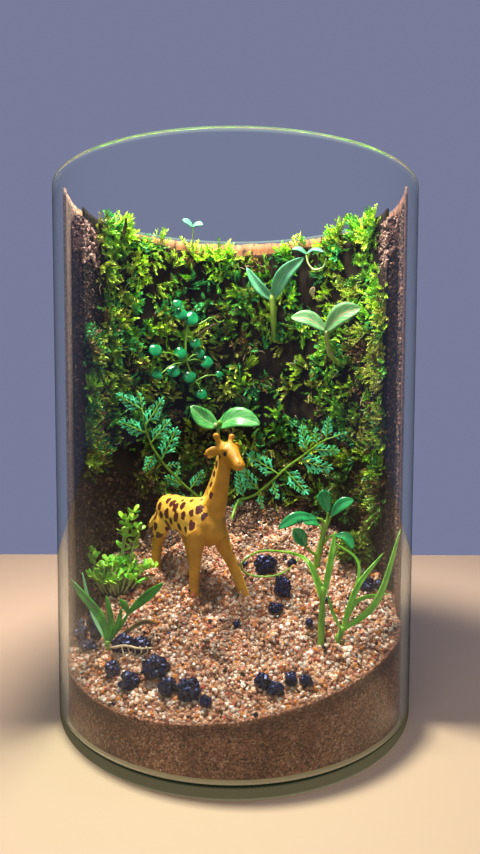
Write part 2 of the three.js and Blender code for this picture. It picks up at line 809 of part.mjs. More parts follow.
function veinedSeedling() {
  const joint = vec(33.6, 14.4, 129.4);
  const stem = rootedStem([vec(42.6, 26.4, 116.8), vec(37, 21.4, 120), vec(34.4, 16.2, 124.4), joint], 1);
  const left = seedLeaf(joint, vec(21, 17.4, 134.4), 2.9, 0.6, vec(0, 0, 1.6), vec(-0.1, -1, 0.5));
  const right = seedLeaf(joint, vec(45, 7.6, 136.2), 3.3, 0.6, vec(-0.8, 0, 1.4), vec(-0.3, -1, 0.3));
  return toGeometry(join([stem, left, right]));
}

function roundSeedling() {
  const joint = vec(-7.4, 36, 92.6);
  const stem = rootedStem([vec(-7.2, 48, 86), vec(-7.2, 42, 88.4), joint], 0.8);
  const left = seedLeaf(joint, vec(-18, 33.6, 101.4), 3, 0.55, vec(-0.6, 0, -0.4), vec(0.2, -1, 0.4));
  const right = seedLeaf(joint, vec(9, 32.6, 94.8), 3.6, 0.6, vec(-0.4, 0, 2.6), vec(0, -1, 0.6));
  return toGeometry(join([stem, left, right]));
}

function whiteSprout() {
  const stem = rootedStem([vec(35.4, 34.6, 143), vec(31.6, 31, 143.6), vec(30.4, 29.6, 144.6)], 0.4);
  const points = curvePoints([vec(30.8, 30, 144), vec(30, 29.2, 145.6), vec(30.8, 28.6, 147.4)], 4);
  return toGeometry(join([stem, blade(points, leafWidths(4, 1, 0.6), TOWARD_VIEW)]));
}

addPiece("seedling_tiny", tinySeedling(), COLOURS.leafGreen, 0.5);
addPiece("seedling_pointed", pointedSeedling(), COLOURS.leafGreen, 0.5);
addPiece("seedling_looped", loopedSeedling(), COLOURS.leafGreen, 0.5);
addPiece("seedling_veined", veinedSeedling(), COLOURS.pinkLeaf, 0.5);
addPiece("seedling_round", roundSeedling(), COLOURS.leafGreen, 0.5);
addPiece("sprout_white", whiteSprout(), COLOURS.paleStem, 0.6);

// ---------------------------------------------------------------- creeping coin-leaf plant

const CREEPER_RADIUS = 41.4;
const CREEPER_HUB = [-20.4, 129];
// coin leaves: across, height, radius
const COIN_LEAVES = [
  [-23.6, 142, 1.7],
  [-22.2, 138, 2.5],
  [-18.4, 136.6, 2.9],
  [-31.4, 123, 2.4],
  [-22.4, 122.4, 2.4],
  [-16.6, 126.6, 2.1],
  [-14.8, 122.4, 1.9],
  [-12.2, 119, 2.5],
  [-25, 115.2, 2.5],
  [-19, 113, 2.5],
  [-31, 113.6, 1.9],
  [-14.2, 106, 2.1],
  [-7, 114, 1.4],
];
const COIN_THICKNESS = 0.8;
const TENDRIL = [[-14.4, 134.6], [-10.2, 137.4], [-7.2, 135.2], [-4.8, 136.2]];
const CREEPER_RUNNER = [[-19.8, 133], CREEPER_HUB, [-20.2, 119], [-16.6, 111]];

function coinLeaf(centre, radius) {
  const inward = vec(-centre.x, -centre.y, 0).normalize();
  const face = inward.multiplyScalar(0.7).add(vec(0, -0.8, 0.45)).normalize();
  const back = centre.clone().addScaledVector(face, -COIN_THICKNESS);
  return tube([back, centre], [radius * 0.9, radius], 7);
}

// a runner over the moss, a stalk to each coin leaf from its nearest point, and a tendril
function creeperGeometry() {
  const stemRadius = CREEPER_RADIUS + 0.7;
  const runner = CREEPER_RUNNER.map(([x, z]) => onWall(x, z, stemRadius));
  const root = onWall(CREEPER_HUB[0], CREEPER_HUB[1] - 1.4, 48);
  const pieces = [rootedStem([root, runner[1]], 0.6, 4), tube(runner, runner.map(() => 0.5), 4, TOWARD_VIEW)];
  COIN_LEAVES.forEach(([x, z, radius]) => {
    const centre = onWall(x, z, CREEPER_RADIUS);
    const nearest = runner.reduce((best, p) => (p.distanceTo(centre) < best.distanceTo(centre) ? p : best));
    const behind = centre.clone().add(vec(0.2 * radius, 0.3, -0.4 * radius));
    pieces.push(tube([nearest, behind], [0.42, 0.36], 3, TOWARD_VIEW));
    pieces.push(coinLeaf(centre, radius));
  });
  const tendril = [CREEPER_RUNNER[0], ...TENDRIL].map(([x, z]) => onWall(x, z, stemRadius));
  pieces.push(tube(tendril, tendril.map(() => 0.35), 3, TOWARD_VIEW));
  return toGeometry(join(pieces));
}

addPiece("creeper_coin_leaf", creeperGeometry(), COLOURS.coinLeaf, 0.35);

// ---------------------------------------------------------------- fern fronds

// outline of one pinna with leaflets cut to the rib, base at the origin and tip along +Y
function pinnaShape(length) {
  const lobes = [
    { low: 0.14, high: 0.4, reach: 0.36 },
    { low: 0.42, high: 0.68, reach: 0.38 },
    { low: 0.66, high: 0.9, reach: 0.24 },
  ];
  const rib = 0.06;
  const side = lobes.slice(length < 6 ? 1 : 0).flatMap(({ low, high, reach }) => [[rib, low], [reach, high]]);
  const right = [[rib, 0], ...side, [0, 1]];
  const left = [...side].reverse().map(([x, y]) => [-x, y]);
  const outline = [...right, ...left, [-rib, 0]];
  return new THREE.Shape(outline.map(([x, y]) => new THREE.Vector2(x * length, y * length)));
}

// a pinna from its joint on the rachis, along its heading in the plane that faces the view
function pinna(joint, heading, length, face) {
  const geometry = new THREE.ExtrudeGeometry(pinnaShape(length), { depth: 0.65, bevelEnabled: false });
  const position = geometry.getAttribute("position");
  for (let i = 0; i < position.count; i += 1) {
    const share = position.getY(i) / length;
    position.setZ(i, position.getZ(i) + 0.1 * length * Math.sin(Math.PI * share) - 0.3);
  }
  const turn = radians(heading);
  const flat = vec(Math.cos(turn), 0, Math.sin(turn));
  const side = flat.clone().cross(face).normalize();
  const forward = face.clone().cross(side).normalize();
  const normal = side.clone().cross(forward).normalize();
  geometry.applyMatrix4(new THREE.Matrix4().makeBasis(side, forward, normal));
  return geometry.translate(joint.x, joint.y, joint.z);
}

// a frond: its foot stands in a hole, the rachis bends from there, and each pinna has its
// share of the rachis, its heading and its length
function frondGeometry({ rachis, pinnae, face, foot, holes }) {
  const stations = curvePoints(rachis, 9);
  const sizes = stations.map((_, i) => 0.75 - (0.35 * i) / (stations.length - 1));
  const curve = new THREE.CatmullRomCurve3(rachis);
  const pieces = [tube(stations, sizes, 4, TOWARD_VIEW)];
  const footPoints = [...foot, rachis[0], stations[1]];
  pieces.push(tube(footPoints, footPoints.map(() => 0.7), 4, footHint(footPoints)));
  holes.push(stemHole(footPoints.slice(0, 2), 0.8));
  pinnae.forEach(([share, heading, length]) => {
    pieces.push(pinna(curve.getPoint(share), heading, length, face));
  });
  return toGeometry(join(pieces));
}

const LEFT_FROND = {
  foot: [vec(-14.6, 47, 64.6)],
  holes: mossHoles,
  rachis: [
    vec(-15.2, 40, 63),
    vec(-21, 35, 68.6),
    vec(-26.6, 28.4, 76),
    vec(-31.2, 22.4, 83.6),
    vec(-33.6, 17.4, 91.2),
    vec(-35, 13.6, 100.6),
  ],
  face: vec(0.35, -0.9, 0.1).normalize(),
  pinnae: [
    [0.99, 152, 8],
    [0.97, 100, 5.4],
    [0.86, 56, 9.2],
    [0.8, 160, 8.4],
    [0.7, 48, 8.4],
    [0.6, 236, 6.4],
    [0.5, 62, 10.4],
    [0.44, 8, 4.2],
    [0.3, 74, 3.6],
    [0.2, 156, 6.6],
    [0.13, 52, 7.2],
    [0.09, 244, 4.4],
  ],
};

const RIGHT_FROND = {
  foot: [vec(-1.6, 31.4, 49.4), vec(-1.4, 32.6, 56)],
  holes: sandHoles,
  rachis: [
    vec(1.4, 40, 61.6),
    vec(8, 37, 64.4),
    vec(14.4, 33.6, 70.4),
    vec(21.2, 29, 77.4),
    vec(27.8, 24, 83),
    vec(33, 19, 88),
    vec(36.4, 15.6, 89.8),
  ],
  face: vec(-0.3, -0.93, 0.1).normalize(),
  pinnae: [
    [0.99, 18, 4.6],
    [0.9, 84, 6.2],
    [0.78, 96, 4.8],
    [0.72, -2, 8],
    [0.68, 104, 8],
    [0.58, -12, 10.8],
    [0.46, -42, 10],
    [0.41, 150, 11.4],
    [0.34, -66, 5.6],
    [0.22, 134, 9.2],
    [0.2, -68, 5],
    [0.06, 108, 8.4],
    [0.05, 216, 4.4],
  ],
};

addPiece("fern_frond_left", frondGeometry(LEFT_FROND), COLOURS.fern, 0.5);
addPiece("fern_frond_right", frondGeometry(RIGHT_FROND), COLOURS.fern, 0.5);

// ---------------------------------------------------------------- plants in the sand

// a blade that grows out of the sand; its lowest stretch stands in a hole
function sandStem(points, sizes, sides = 5) {
  const bottom = points[0].clone().add(vec(0, 0, -GAP));
  const top = points[1].clone().add(vec(0, 0, 2 * SAND_LUMP));
  sandHoles.push(stemHole([bottom, top], Math.max(sizes[0], sizes[1])));
  return tube(points, sizes, sides, TOWARD_VIEW);
}

// low clump of spoon leaves round a small cushion, with three tall shoots
const CRESS_X = -41.4;
const CRESS_Y = 3.4;
const CRESS_HALF_WIDTH = 8;
const CRESS_HEIGHT = 9.5;

function cressGeometry() {
  const random = seededRandom(21);
  const base = onSand(CRESS_X, CRESS_Y);
  const cushion = new THREE.IcosahedronGeometry(1, 1);
  cushion.scale(CRESS_HALF_WIDTH, CRESS_HALF_WIDTH * 0.8, CRESS_HEIGHT * 0.55);
  cushion.translate(base.x, base.y, base.z + 2.6);
  const pieces = [cushion];
  const leaves = 17;
  for (let i = 0; i < leaves; i += 1) {
    const azimuth = i * 137.5;
    const out = Math.sqrt((i + 0.5) / leaves);
    const foot = polar(CRESS_HALF_WIDTH * 0.8 * out, azimuth, 0);
    const lean = polar(2.6 * out + 0.6, azimuth + 40 * (random() - 0.5), 0);
    const height = CRESS_HEIGHT * (1 - 0.6 * out * out) + 2.4 + 1.6 * random();
    const start = vec(base.x + foot.x, base.y + foot.y * 0.8, base.z + height - 5);
    const end = vec(start.x + lean.x, start.y + lean.y * 0.8, base.z + height);
    const middle = start.clone().lerp(end, 0.6).add(vec(0, 0, 0.9));
    pieces.push(blade([start, middle, end], [0.4, 1.1, 0.8], vec(0, -1, 0.7)));
  }
  const shoots = [[2.6, -1, 16.6], [5.4, 0.6, 14.4], [-7.6, 0, 8.6]];
  shoots.forEach(([x, y, height]) => {
    const start = vec(base.x + x * 0.5, base.y + y, base.z + 4);
    const end = vec(base.x + x, base.y + y - 0.6, base.z + height);
    pieces.push(tube([start, start.clone().lerp(end, 0.5), end], [0.5, 0.45, 0.4], 4, TOWARD_VIEW));
    [-1, 0, 1].forEach((side) => {
      const leafEnd = end.clone().add(vec(side * 2.2, -0.8, 1.8 - Math.abs(side)));
      pieces.push(blade([end, end.clone().lerp(leafEnd, 0.6), leafEnd], [0.4, 1, 0.7], vec(0, -1, 0.4)));
    });
  });
  const pocket = new THREE.IcosahedronGeometry(1, 1);
  pocket.scale(CRESS_HALF_WIDTH + 0.6, CRESS_HALF_WIDTH * 0.8 + 0.6, CRESS_HEIGHT * 0.55 + 0.6);
  sandHoles.push(pocket.translate(base.x, base.y, base.z + 2.6));
  return toGeometry(join(pieces));
}

addPiece("cress_clump", cressGeometry(), COLOURS.cress, 0.5);

// strap-leaf plant: each leaf is its bend and tip from the root, half width, and share of widest
const STRAP_ROOT = [-39.6, -24.2];
const STRAP_LEAVES = [
  { bend: [-6, 4.4, 13.6], tip: [-12.2, 7, 23], half: 1.7, widest: 0.35 },
  { bend: [-4.4, 6.6, 14], tip: [-9.4, 9.6, 25], half: 0.7, widest: 0.4 },
  { bend: [-1.2, 1, 8.6], tip: [-2, 2, 16.4], half: 1.1, widest: 0.45 },
  { bend: [1.6, 0.4, 6.6], tip: [3.4, 1.2, 13.6], half: 1, widest: 0.45 },
  { bend: [5, 0.6, 13.6], tip: [18, 1.6, 21], half: 1.4, widest: 0.75 },
  { bend: [3.4, 0.6, 9.4], tip: [3.4, 1.6, 15.4], half: 0.8, widest: 0.6 },
  { bend: [6.6, 3.4, 9], tip: [13.4, 3.6, 9.4], half: 0.8, widest: 0.5 },
];

function strapGeometry() {
  const base = onSand(...STRAP_ROOT);
  const crown = [-4, 0.6, 2.4].map((lift) => base.clone().add(vec(0, 0, lift)));
  const pieces = [sandStem(crown, [0.9, 1.2, 1.1])];
  STRAP_LEAVES.forEach(({ bend, tip, half, widest }) => {
    const start = base.clone().add(vec(0, 0, 1));
    const points = curvePoints([start, base.clone().add(vec(...bend)), base.clone().add(vec(...tip))], 6);
    pieces.push(blade(points, leafWidths(6, half, widest), TOWARD_VIEW));
  });
  return toGeometry(join(pieces));
}

addPiece("strap_leaf_plant", strapGeometry(), COLOURS.strap, 0.4);

// oval-leaf plant: a stout stem and leaves from their joint to their tip
const OVAL_ROOT = [28, 2];
const OVAL_LEAVES = [
  { joint: 26, tip: [3.4, -0.6, 28.4], half: 2.9, lift: [0, 0, 0.4], start: 18 },
  { joint: 18, tip: [13, -3, 25], half: 2, lift: [0, 0, 1.8], start: 17 },
  { joint: 17, tip: [-14.4, -3.4, 15.4], half: 2, lift: [0, 0, 2.4], start: 17 },
  { joint: 13, tip: [-7.6, -4, 10.6], half: 2.3, lift: [-0.6, 0, 3], start: 15 },
  { joint: 11, tip: [11.6, -4, 7], half: 1.5, lift: [1, 0, 3.6], start: 9 },
  { joint: 12, tip: [3.6, 3.6, 20], half: 1.6, lift: [0.6, 0, 0.6], start: 13 },
];

function ovalGeometry() {
  const base = onSand(...OVAL_ROOT);
  const stemPoints = [
    base.clone().add(vec(-0.3, 0, -5)),
    base.clone().add(vec(0, 0, 0.6)),
    base.clone().add(vec(0.8, -0.4, 9)),
    base.clone().add(vec(1.8, -0.6, 18.6)),
  ];
  const pieces = [sandStem(stemPoints, [1.2, 1.4, 1.1, 0.9], 6)];
  const stemCurve = new THREE.CatmullRomCurve3(stemPoints);
  OVAL_LEAVES.forEach(({ tip, half, lift, start }) => {
    const joint = stemCurve.getPoint((start + 5) / 23.6);
    const end = base.clone().add(vec(...tip));
    const middle = joint.clone().lerp(end, 0.5).add(vec(...lift));
    const points = curvePoints([joint, middle, end], 5);
    pieces.push(blade(points, leafWidths(5, half, 0.7, 0.35), vec(0, -1, 0.5), 0.25));
  });
  return toGeometry(join(pieces));
}

addPiece("oval_leaf_plant", ovalGeometry(), COLOURS.oval, 0.35);

// grass tufts: a stout foot and arching blades, given by bend and tip from the root
const GRASS_TUFTS = [
  {
    name: "grass_tuft_front",
    root: [25.7, -33.4],
    stem: [0.4, 1, 21],
    stemHalf: 1.05,
    blades: [
      { bend: [1, 3, 26], tip: [4.6, 5, 34.6], half: 1.2 },
      { bend: [-5.4, 4, 29], tip: [-16.6, 6, 32], half: 0.8 },
      { bend: [-1.6, 1, 24.6], tip: [-3.6, 2, 28], half: 0.9 },
    ],
  },
  {
    name: "grass_tuft_side",
    root: [31, -32.2],
    stem: [1.6, 1, 6],
    stemHalf: 1.2,
    blades: [
      { bend: [8.4, 4, 19], tip: [2.6, 10, 36], half: 0.8 },
      { bend: [9, 4, 18], tip: [17.4, 10, 30], half: 1.1 },
      { bend: [6, 3, 11.6], tip: [14, 6, 14.6], half: 0.8 },
      { bend: [11, 4, 12.4], tip: [20.6, 9.6, 33], half: 1.2 },
      { bend: [-0.6, 1.4, 10], tip: [-2.4, 2.6, 17], half: 0.7 },
    ],
  },
];

function grassGeometry({ root, stem, stemHalf, blades }) {
  const base = onSand(...root);
  const top = base.clone().add(vec(...stem));
  const middle = base.clone().lerp(top, 0.5);
  const foot = [base.clone().add(vec(0, 0, -5)), base.clone().add(vec(0, 0, 0.6)), middle, top];
  const pieces = [sandStem(foot, [stemHalf * 0.8, stemHalf, stemHalf, stemHalf * 0.8], 6)];
  blades.forEach(({ bend, tip, half }) => {
    const start = base.clone().lerp(top, 0.8);
    const points = curvePoints([start, base.clone().add(vec(...bend)), base.clone().add(vec(...tip))], 7);
    pieces.push(blade(points, leafWidths(7, half, 0.35), TOWARD_VIEW));
  });
  return toGeometry(join(pieces));
}

GRASS_TUFTS.forEach((tuft) => addPiece(tuft.name, grassGeometry(tuft), COLOURS.grass, 0.45));

// ---------------------------------------------------------------- twigs and the loose moss clump

function twig(points, radius, holes) {
  holes.push(stemHole(points.slice(0, 2), radius));
  const sizes = points.map((_, i) => radius * (1 - (0.4 * i) / points.length));
  return tube(points, sizes, 5, TOWARD_VIEW);
}

const BENT_TWIG = [
  vec(-7.6, 48, 135.4),
  vec(-9, 42.6, 134.4),
  vec(-15, 40.2, 130.4),
  vec(-12.8, 40.8, 128.4),
];
const STUB_TWIG = [vec(-43.4, 20.6, 163), vec(-41.4, 17.6, 167), vec(-40.6, 16.4, 170.4)];
const LEANING_TWIG = [vec(-36.6, 25.2, 45), vec(-35, 26.8, 50.6), vec(-29, 33, 67)];

addPiece("twig_bent", twig(BENT_TWIG, 0.55, mossHoles), COLOURS.twig, 0.85);
addPiece("twig_stub", twig(STUB_TWIG, 0.8, mossHoles), COLOURS.twig, 0.85);
addPiece("twig_leaning", twig(LEANING_TWIG, 0.5, sandHoles), COLOURS.twig, 0.85);

// a small clump of moss on the sand against the wall
const CLUMP_PLACE = [44, 8];
const CLUMP_HALF_SIZES = [5.6, 5, 6];

function clumpGeometry() {
  const random = seededRandom(31);
  const ball = new THREE.IcosahedronGeometry(1, 2);
  ball.deleteAttribute("normal");
  ball.deleteAttribute("uv");
  const geometry = mergeVertices(ball, 1e-4);
  const position = geometry.getAttribute("position");
  for (let i = 0; i < position.count; i += 1) {
    const sprig = i % 2 === 0 ? 1.15 : 0.85;
    const size = sprig + 0.12 * (random() - 0.5);
    position.setXYZ(
      i,
      position.getX(i) * CLUMP_HALF_SIZES[0] * size,
      position.getY(i) * CLUMP_HALF_SIZES[1] * size,
      position.getZ(i) * CLUMP_HALF_SIZES[2] * size
    );
  }
  return geometry;
}

function addClump() {
  const centre = onSand(...CLUMP_PLACE, 3.4);
  const geometry = clumpGeometry();
  const pocket = geometry.clone().scale(1.1, 1.1, 1.1);
  sandHoles.push(pocket.translate(centre.x, centre.y, centre.z));
  addPiece("moss_clump", geometry.translate(centre.x, centre.y, centre.z), COLOURS.mossDeep, 0.9);
}

addClump();

// ---------------------------------------------------------------- carved moss and sand

mossMats().forEach(({ name, mesh }, i) => {
  const colour = i % 2 === 0 ? COLOURS.mossDeep : COLOURS.moss;
  addPiece(name, toGeometry(carve(mesh, mossHoles)), colour, 0.9);
});

addPiece("sand_bank", toGeometry(carve(sandGeometry(), sandHoles)), COLOURS.sand, 0.9);

export default part;
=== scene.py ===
import json
import math
import random

import bpy
import numpy as np
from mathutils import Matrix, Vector, noise

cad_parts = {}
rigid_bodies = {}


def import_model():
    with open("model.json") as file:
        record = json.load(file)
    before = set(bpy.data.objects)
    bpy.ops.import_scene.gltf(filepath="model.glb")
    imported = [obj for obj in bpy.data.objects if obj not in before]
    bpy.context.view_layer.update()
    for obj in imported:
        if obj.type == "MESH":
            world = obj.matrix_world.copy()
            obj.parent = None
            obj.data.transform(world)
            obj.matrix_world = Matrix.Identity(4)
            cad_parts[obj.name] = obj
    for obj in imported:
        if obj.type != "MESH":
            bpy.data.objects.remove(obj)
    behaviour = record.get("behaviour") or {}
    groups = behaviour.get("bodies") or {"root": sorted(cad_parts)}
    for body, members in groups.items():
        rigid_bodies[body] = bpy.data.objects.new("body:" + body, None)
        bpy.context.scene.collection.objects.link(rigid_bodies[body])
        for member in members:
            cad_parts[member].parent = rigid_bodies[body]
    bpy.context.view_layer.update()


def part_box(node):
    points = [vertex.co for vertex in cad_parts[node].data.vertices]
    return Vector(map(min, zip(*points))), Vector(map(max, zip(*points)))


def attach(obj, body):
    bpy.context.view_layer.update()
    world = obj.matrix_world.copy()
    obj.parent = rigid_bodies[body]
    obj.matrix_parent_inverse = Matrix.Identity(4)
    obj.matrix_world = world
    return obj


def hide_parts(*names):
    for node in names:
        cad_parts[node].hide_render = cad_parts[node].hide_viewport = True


# The looks of a planted glass terrarium: glass, bark sheet, soil, moss, sand, lava stones, small
# plants and a toy giraffe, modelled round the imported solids. Sizes are millimetres times MM.
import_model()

MM = 0.001

# jar
JAR_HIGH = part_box("jar")[1]
JAR_RADIUS = JAR_HIGH.x / MM
JAR_HEIGHT = JAR_HIGH.z / MM
JAR_WALL = 2.6
JAR_FLOOR = 3.5
FOOT_ROUNDING = 2.2
INNER_ROUNDING = 1.2
BORE = JAR_RADIUS - JAR_WALL

# bark sheet, soil and moss, as radii, heights and azimuths round the jar's axis
SHEET_OUTER = BORE - 0.5
SHEET_THICKNESS = 1.0
SHEET_INNER = SHEET_OUTER - SHEET_THICKNESS
SHEET_AZIMUTHS = (-20.0, 200.0)
SHEET_HEIGHTS = (5.0, 170.5)
SOIL_OUTER = SHEET_INNER - 0.4
SOIL_AZIMUTHS = (-6.0, 186.0)
SOIL_BOTTOM = 3.8
SOIL_BACK_RADIUS = 49.5
SOIL_SIDE_EXTRA = 3.2
SOIL_TOP = 162.5
SOIL_TOP_SIDE_EXTRA = 2
MOSS_TOP = 163.5
MOSS_TOP_SIDE_EXTRA = 5.2
MAT_SPLIT_HEIGHT = 112
MAT_COLUMNS = [-4, 34, 72, 110, 148, 184]
MAT_CLEARANCE = 0.45
MAT_INSET = 0.1
MOSS_FOOT = [[-4, 57], [40, 56], [75, 62.5], [105, 62.5], [130, 66], [155, 76], [184, 80]]
TUFTS_PER_SQUARE_MM = 0.046

# sand
SAND_BOTTOM = 3.8
GRAIN_HALF = (0.42, 0.82)
GRAIN_COUNT = 15000
CLOD_COUNT = 230

TOWARD_VIEW = np.array([0.0, -1.0, 0.0])
UP = np.array([0.0, 0.0, 1.0])
FULL_TURN = 6.283


# ---------------------------------------------------------------- colours and shader groups


def colour(code):
    """A hex colour as linear red, green, blue."""
    channels = [int(code[i : i + 2], 16) / 255 for i in (0, 2, 4)]
    return [c / 12.92 if c <= 0.04045 else ((c + 0.055) / 1.055) ** 2.4 for c in channels]


def rgba(code):
    return (*colour(code), 1.0)


# object coordinates are metres: where the soil rubbed on the sheet's ends and the glass's painted edge glow
# lie
FOOT_GLOW_HEIGHTS = (0.0005, 0.0016)
FOOT_GLOW_RADII = (0.0498, 0.0512)
LIP_GLOW_HEIGHTS = (0.1708, 0.1716)
RAGGED_END = 0.014
END_DEPTHS = (0.006, 0.018)
END_COVER = 0.85
# each end of the sheet: where it starts and is whole across the jar, and its two colours
SHEET_ENDS = [
    (0.045, 0.052, "4a2a20", "8f6350"),
    (-0.051, -0.0535, "54382a", "b89a84"),
]
MIX_LOW, MIX_HIGH, MIX_RESULT = 6, 7, 2
def new_group(name, inputs, outputs):
    """A shader node group with named sockets; inputs give their default values."""
    group = bpy.data.node_groups.new(name, "ShaderNodeTree")
    for label, value in inputs.items():
        socket = group.interface.new_socket(label, in_out="INPUT", socket_type="NodeSocketFloat")
        socket.default_value = value
    for label, kind in outputs.items():
        group.interface.new_socket(label, in_out="OUTPUT", socket_type=kind)
    start = group.nodes.new("NodeGroupInput")
    end = group.nodes.new("NodeGroupOutput")
    return group, start, end


def put(tree, kind, values=None, **settings):
    """A node in a tree, with settings on the node and values or links for its inputs."""
    node = tree.nodes.new(kind)
    for label, value in settings.items():
        setattr(node, label, value)
    for label, value in (values or {}).items():
        if isinstance(value, bpy.types.NodeSocket):
            tree.links.new(value, node.inputs[label])
        else:
            node.inputs[label].default_value = value
    return node


def math_node(tree, operation, *values):
    return put(tree, "ShaderNodeMath", dict(enumerate(values)), operation=operation).outputs[0]


def between(tree, value, start, stop, first=0.0, last=1.0):
    """A value carried from one range to another, and kept inside it."""
    limits = {"Value": value, "From Min": start, "From Max": stop, "To Min": first, "To Max": last}
    return put(tree, "ShaderNodeMapRange", limits).outputs[0]


def own_place(tree):
    return put(tree, "ShaderNodeTexCoord").outputs["Object"]


def attribute(tree, name, output="Fac"):
    return put(tree, "ShaderNodeAttribute", attribute_name=name).outputs[output]


def stretched_noise(group, start):
    """Noise on the piece's own coordinates, drawn out along Z by the group's Stretch."""
    stretch = put(group, "ShaderNodeCombineXYZ", {"X": 1.0, "Y": 1.0, "Z": start.outputs["Stretch"]})
    both = {0: own_place(group), 1: stretch.outputs[0]}
    scaled = put(group, "ShaderNodeVectorMath", both, operation="MULTIPLY").outputs[0]
    inputs = {"Vector": scaled, "Scale": start.outputs["Scale"], "Detail": start.outputs["Detail"]}
    return put(group, "ShaderNodeTexNoise", inputs).outputs[0]


def blotch_group():
    """Mask of soft blotches: noise between a low and a high level."""
    inputs = {"Scale": 100.0, "Detail": 4.0, "Low": 0.4, "High": 0.6, "Stretch": 1.0}
    group, start, end = new_group("blotches", inputs, {"Mask": "NodeSocketFloat"})
    mask = between(group, stretched_noise(group, start), start.outputs["Low"], start.outputs["High"])
    group.links.new(mask, end.inputs["Mask"])
    return group


def rough_group():
    """Normal of a fine rough surface."""
    inputs = {"Scale": 800.0, "Detail": 3.0, "Strength": 0.4, "Depth": 0.0002, "Stretch": 1.0}
    group, start, end = new_group("fine_roughness", inputs, {"Normal": "NodeSocketVector"})
    bump = {"Strength": start.outputs["Strength"], "Distance": start.outputs["Depth"]}
    bump["Height"] = stretched_noise(group, start)
    group.links.new(put(group, "ShaderNodeBump", bump).outputs[0], end.inputs["Normal"])
    return group


def vein_group():
    """Mask of a leaf's midrib and side veins, from its UV map: across 0 to 1, base to tip 0 to 1."""
    inputs = {"Veins": 7.0, "Lean": 0.9, "Width": 0.16, "Midrib": 0.022}
    group, start, end = new_group("leaf_veins", inputs, {"Mask": "NodeSocketFloat"})
    place = put(group, "ShaderNodeUVMap", uv_map="leaf")
    split = put(group, "ShaderNodeSeparateXYZ", {"Vector": place.outputs[0]})
    off_middle = math_node(group, "ABSOLUTE", math_node(group, "SUBTRACT", split.outputs["X"], 0.5))
    midrib = math_node(group, "LESS_THAN", off_middle, start.outputs["Midrib"])
    leaning = math_node(group, "MULTIPLY", off_middle, start.outputs["Lean"])
    run = math_node(group, "SUBTRACT", split.outputs["Y"], leaning)
    step = math_node(group, "FRACT", math_node(group, "MULTIPLY", run, start.outputs["Veins"]))
    side = math_node(group, "LESS_THAN", step, start.outputs["Width"])
    both = math_node(group, "MAXIMUM", midrib, math_node(group, "MULTIPLY", side, 0.6))
    group.links.new(both, end.inputs["Mask"])
    return group


GROUPS = {"blotches": blotch_group(), "rough": rough_group(), "veins": vein_group()}


def use_group(tree, name, **values):
    return put(tree, "ShaderNodeGroup", values, node_tree=GROUPS[name]).outputs[0]


def blotches(tree, scale, detail, low, high, stretch=1.0):
    return use_group(tree, "blotches", Scale=scale, Detail=detail, Low=low, High=high, Stretch=stretch)


def new_material(name, roughness=0.6, **values):
    """A material with its Principled shader; values go on the shader's own sockets."""
    material = bpy.data.materials.new(name)
    material.use_nodes = True
    tree = material.node_tree
    shader = next(n for n in tree.nodes if n.type == "BSDF_PRINCIPLED")
    shader.inputs["Roughness"].default_value = roughness
    for label, value in values.items():
        shader.inputs[label.replace("_", " ")].default_value = value
    return material, tree, shader


def mix_colours(tree, mask, low, high):
    """A colour between two, where each is a hex code, a colour or a socket."""
    low, high = (rgba(value) if isinstance(value, str) else value for value in (low, high))
    values = {"Factor": mask, MIX_LOW: low, MIX_HIGH: high}
    return put(tree, "ShaderNodeMix", values, data_type="RGBA").outputs[MIX_RESULT]


def multiplied(tree, first, second):
    values = {"Factor": 1.0, MIX_LOW: first, MIX_HIGH: second}
    return put(tree, "ShaderNodeMix", values, data_type="RGBA", blend_type="MULTIPLY").outputs[MIX_RESULT]


def finished(material, tree, shader, shown, **roughness):
    """Links a material's colour, and the normal of a fine roughness where its values are given."""
    tree.links.new(shown, shader.inputs["Base Color"])
    if roughness:
        tree.links.new(use_group(tree, "rough", **roughness), shader.inputs["Normal"])
    return material


def painted_edge_glow(tree):
    """Painted glow that stands for light gathered by thick glass: tan round the foot, dark green inside it,
    pale green on the lip.
    """
    place = own_place(tree)
    height = put(tree, "ShaderNodeSeparateXYZ", {"Vector": place}).outputs[2]
    flat = put(tree, "ShaderNodeVectorMath", {0: place, 1: (1.0, 1.0, 0.0)}, operation="MULTIPLY").outputs[0]
    reach = put(tree, "ShaderNodeVectorMath", {0: flat}, operation="LENGTH").outputs["Value"]
    under = mix_colours(tree, between(tree, reach, *FOOT_GLOW_RADII), "141c12", "948466")
    low = mix_colours(tree, between(tree, height, *FOOT_GLOW_HEIGHTS, 1.0, 0.0), "000000", under)
    return mix_colours(tree, between(tree, height, *LIP_GLOW_HEIGHTS), low, "c4e0bc")


def glass_material():
    """Clear glass that takes a green tint with depth, lets the lamps' light straight through, and has a
    painted glow at its foot and lip.
    """
    material, tree, shader = new_material("clear_glass", 0.0, Transmission_Weight=1.0, IOR=1.38)
    shader.inputs["Base Color"].default_value = rgba("fbfffd")
    # painted glow: the emission stands for light gathered in the thick glass at the foot and the lip
    shader.inputs["Emission Strength"].default_value = 0.35
    tree.links.new(painted_edge_glow(tree), shader.inputs["Emission Color"])
    shadow = put(tree, "ShaderNodeLightPath").outputs["Is Shadow Ray"]
    clear = put(tree, "ShaderNodeBsdfTransparent", {"Color": (0.93, 0.96, 0.94, 1.0)})
    blend = put(tree, "ShaderNodeMixShader", {0: shadow, 1: shader.outputs[0], 2: clear.outputs[0]})
    body = put(tree, "ShaderNodeVolumeAbsorption", {"Color": (0.62, 0.93, 0.6, 1.0), "Density": 15.0})
    end = next(n for n in tree.nodes if n.type == "OUTPUT_MATERIAL")
    tree.links.new(blend.outputs[0], end.inputs["Surface"])
    tree.links.new(body.outputs[0], end.inputs["Volume"])
    return material


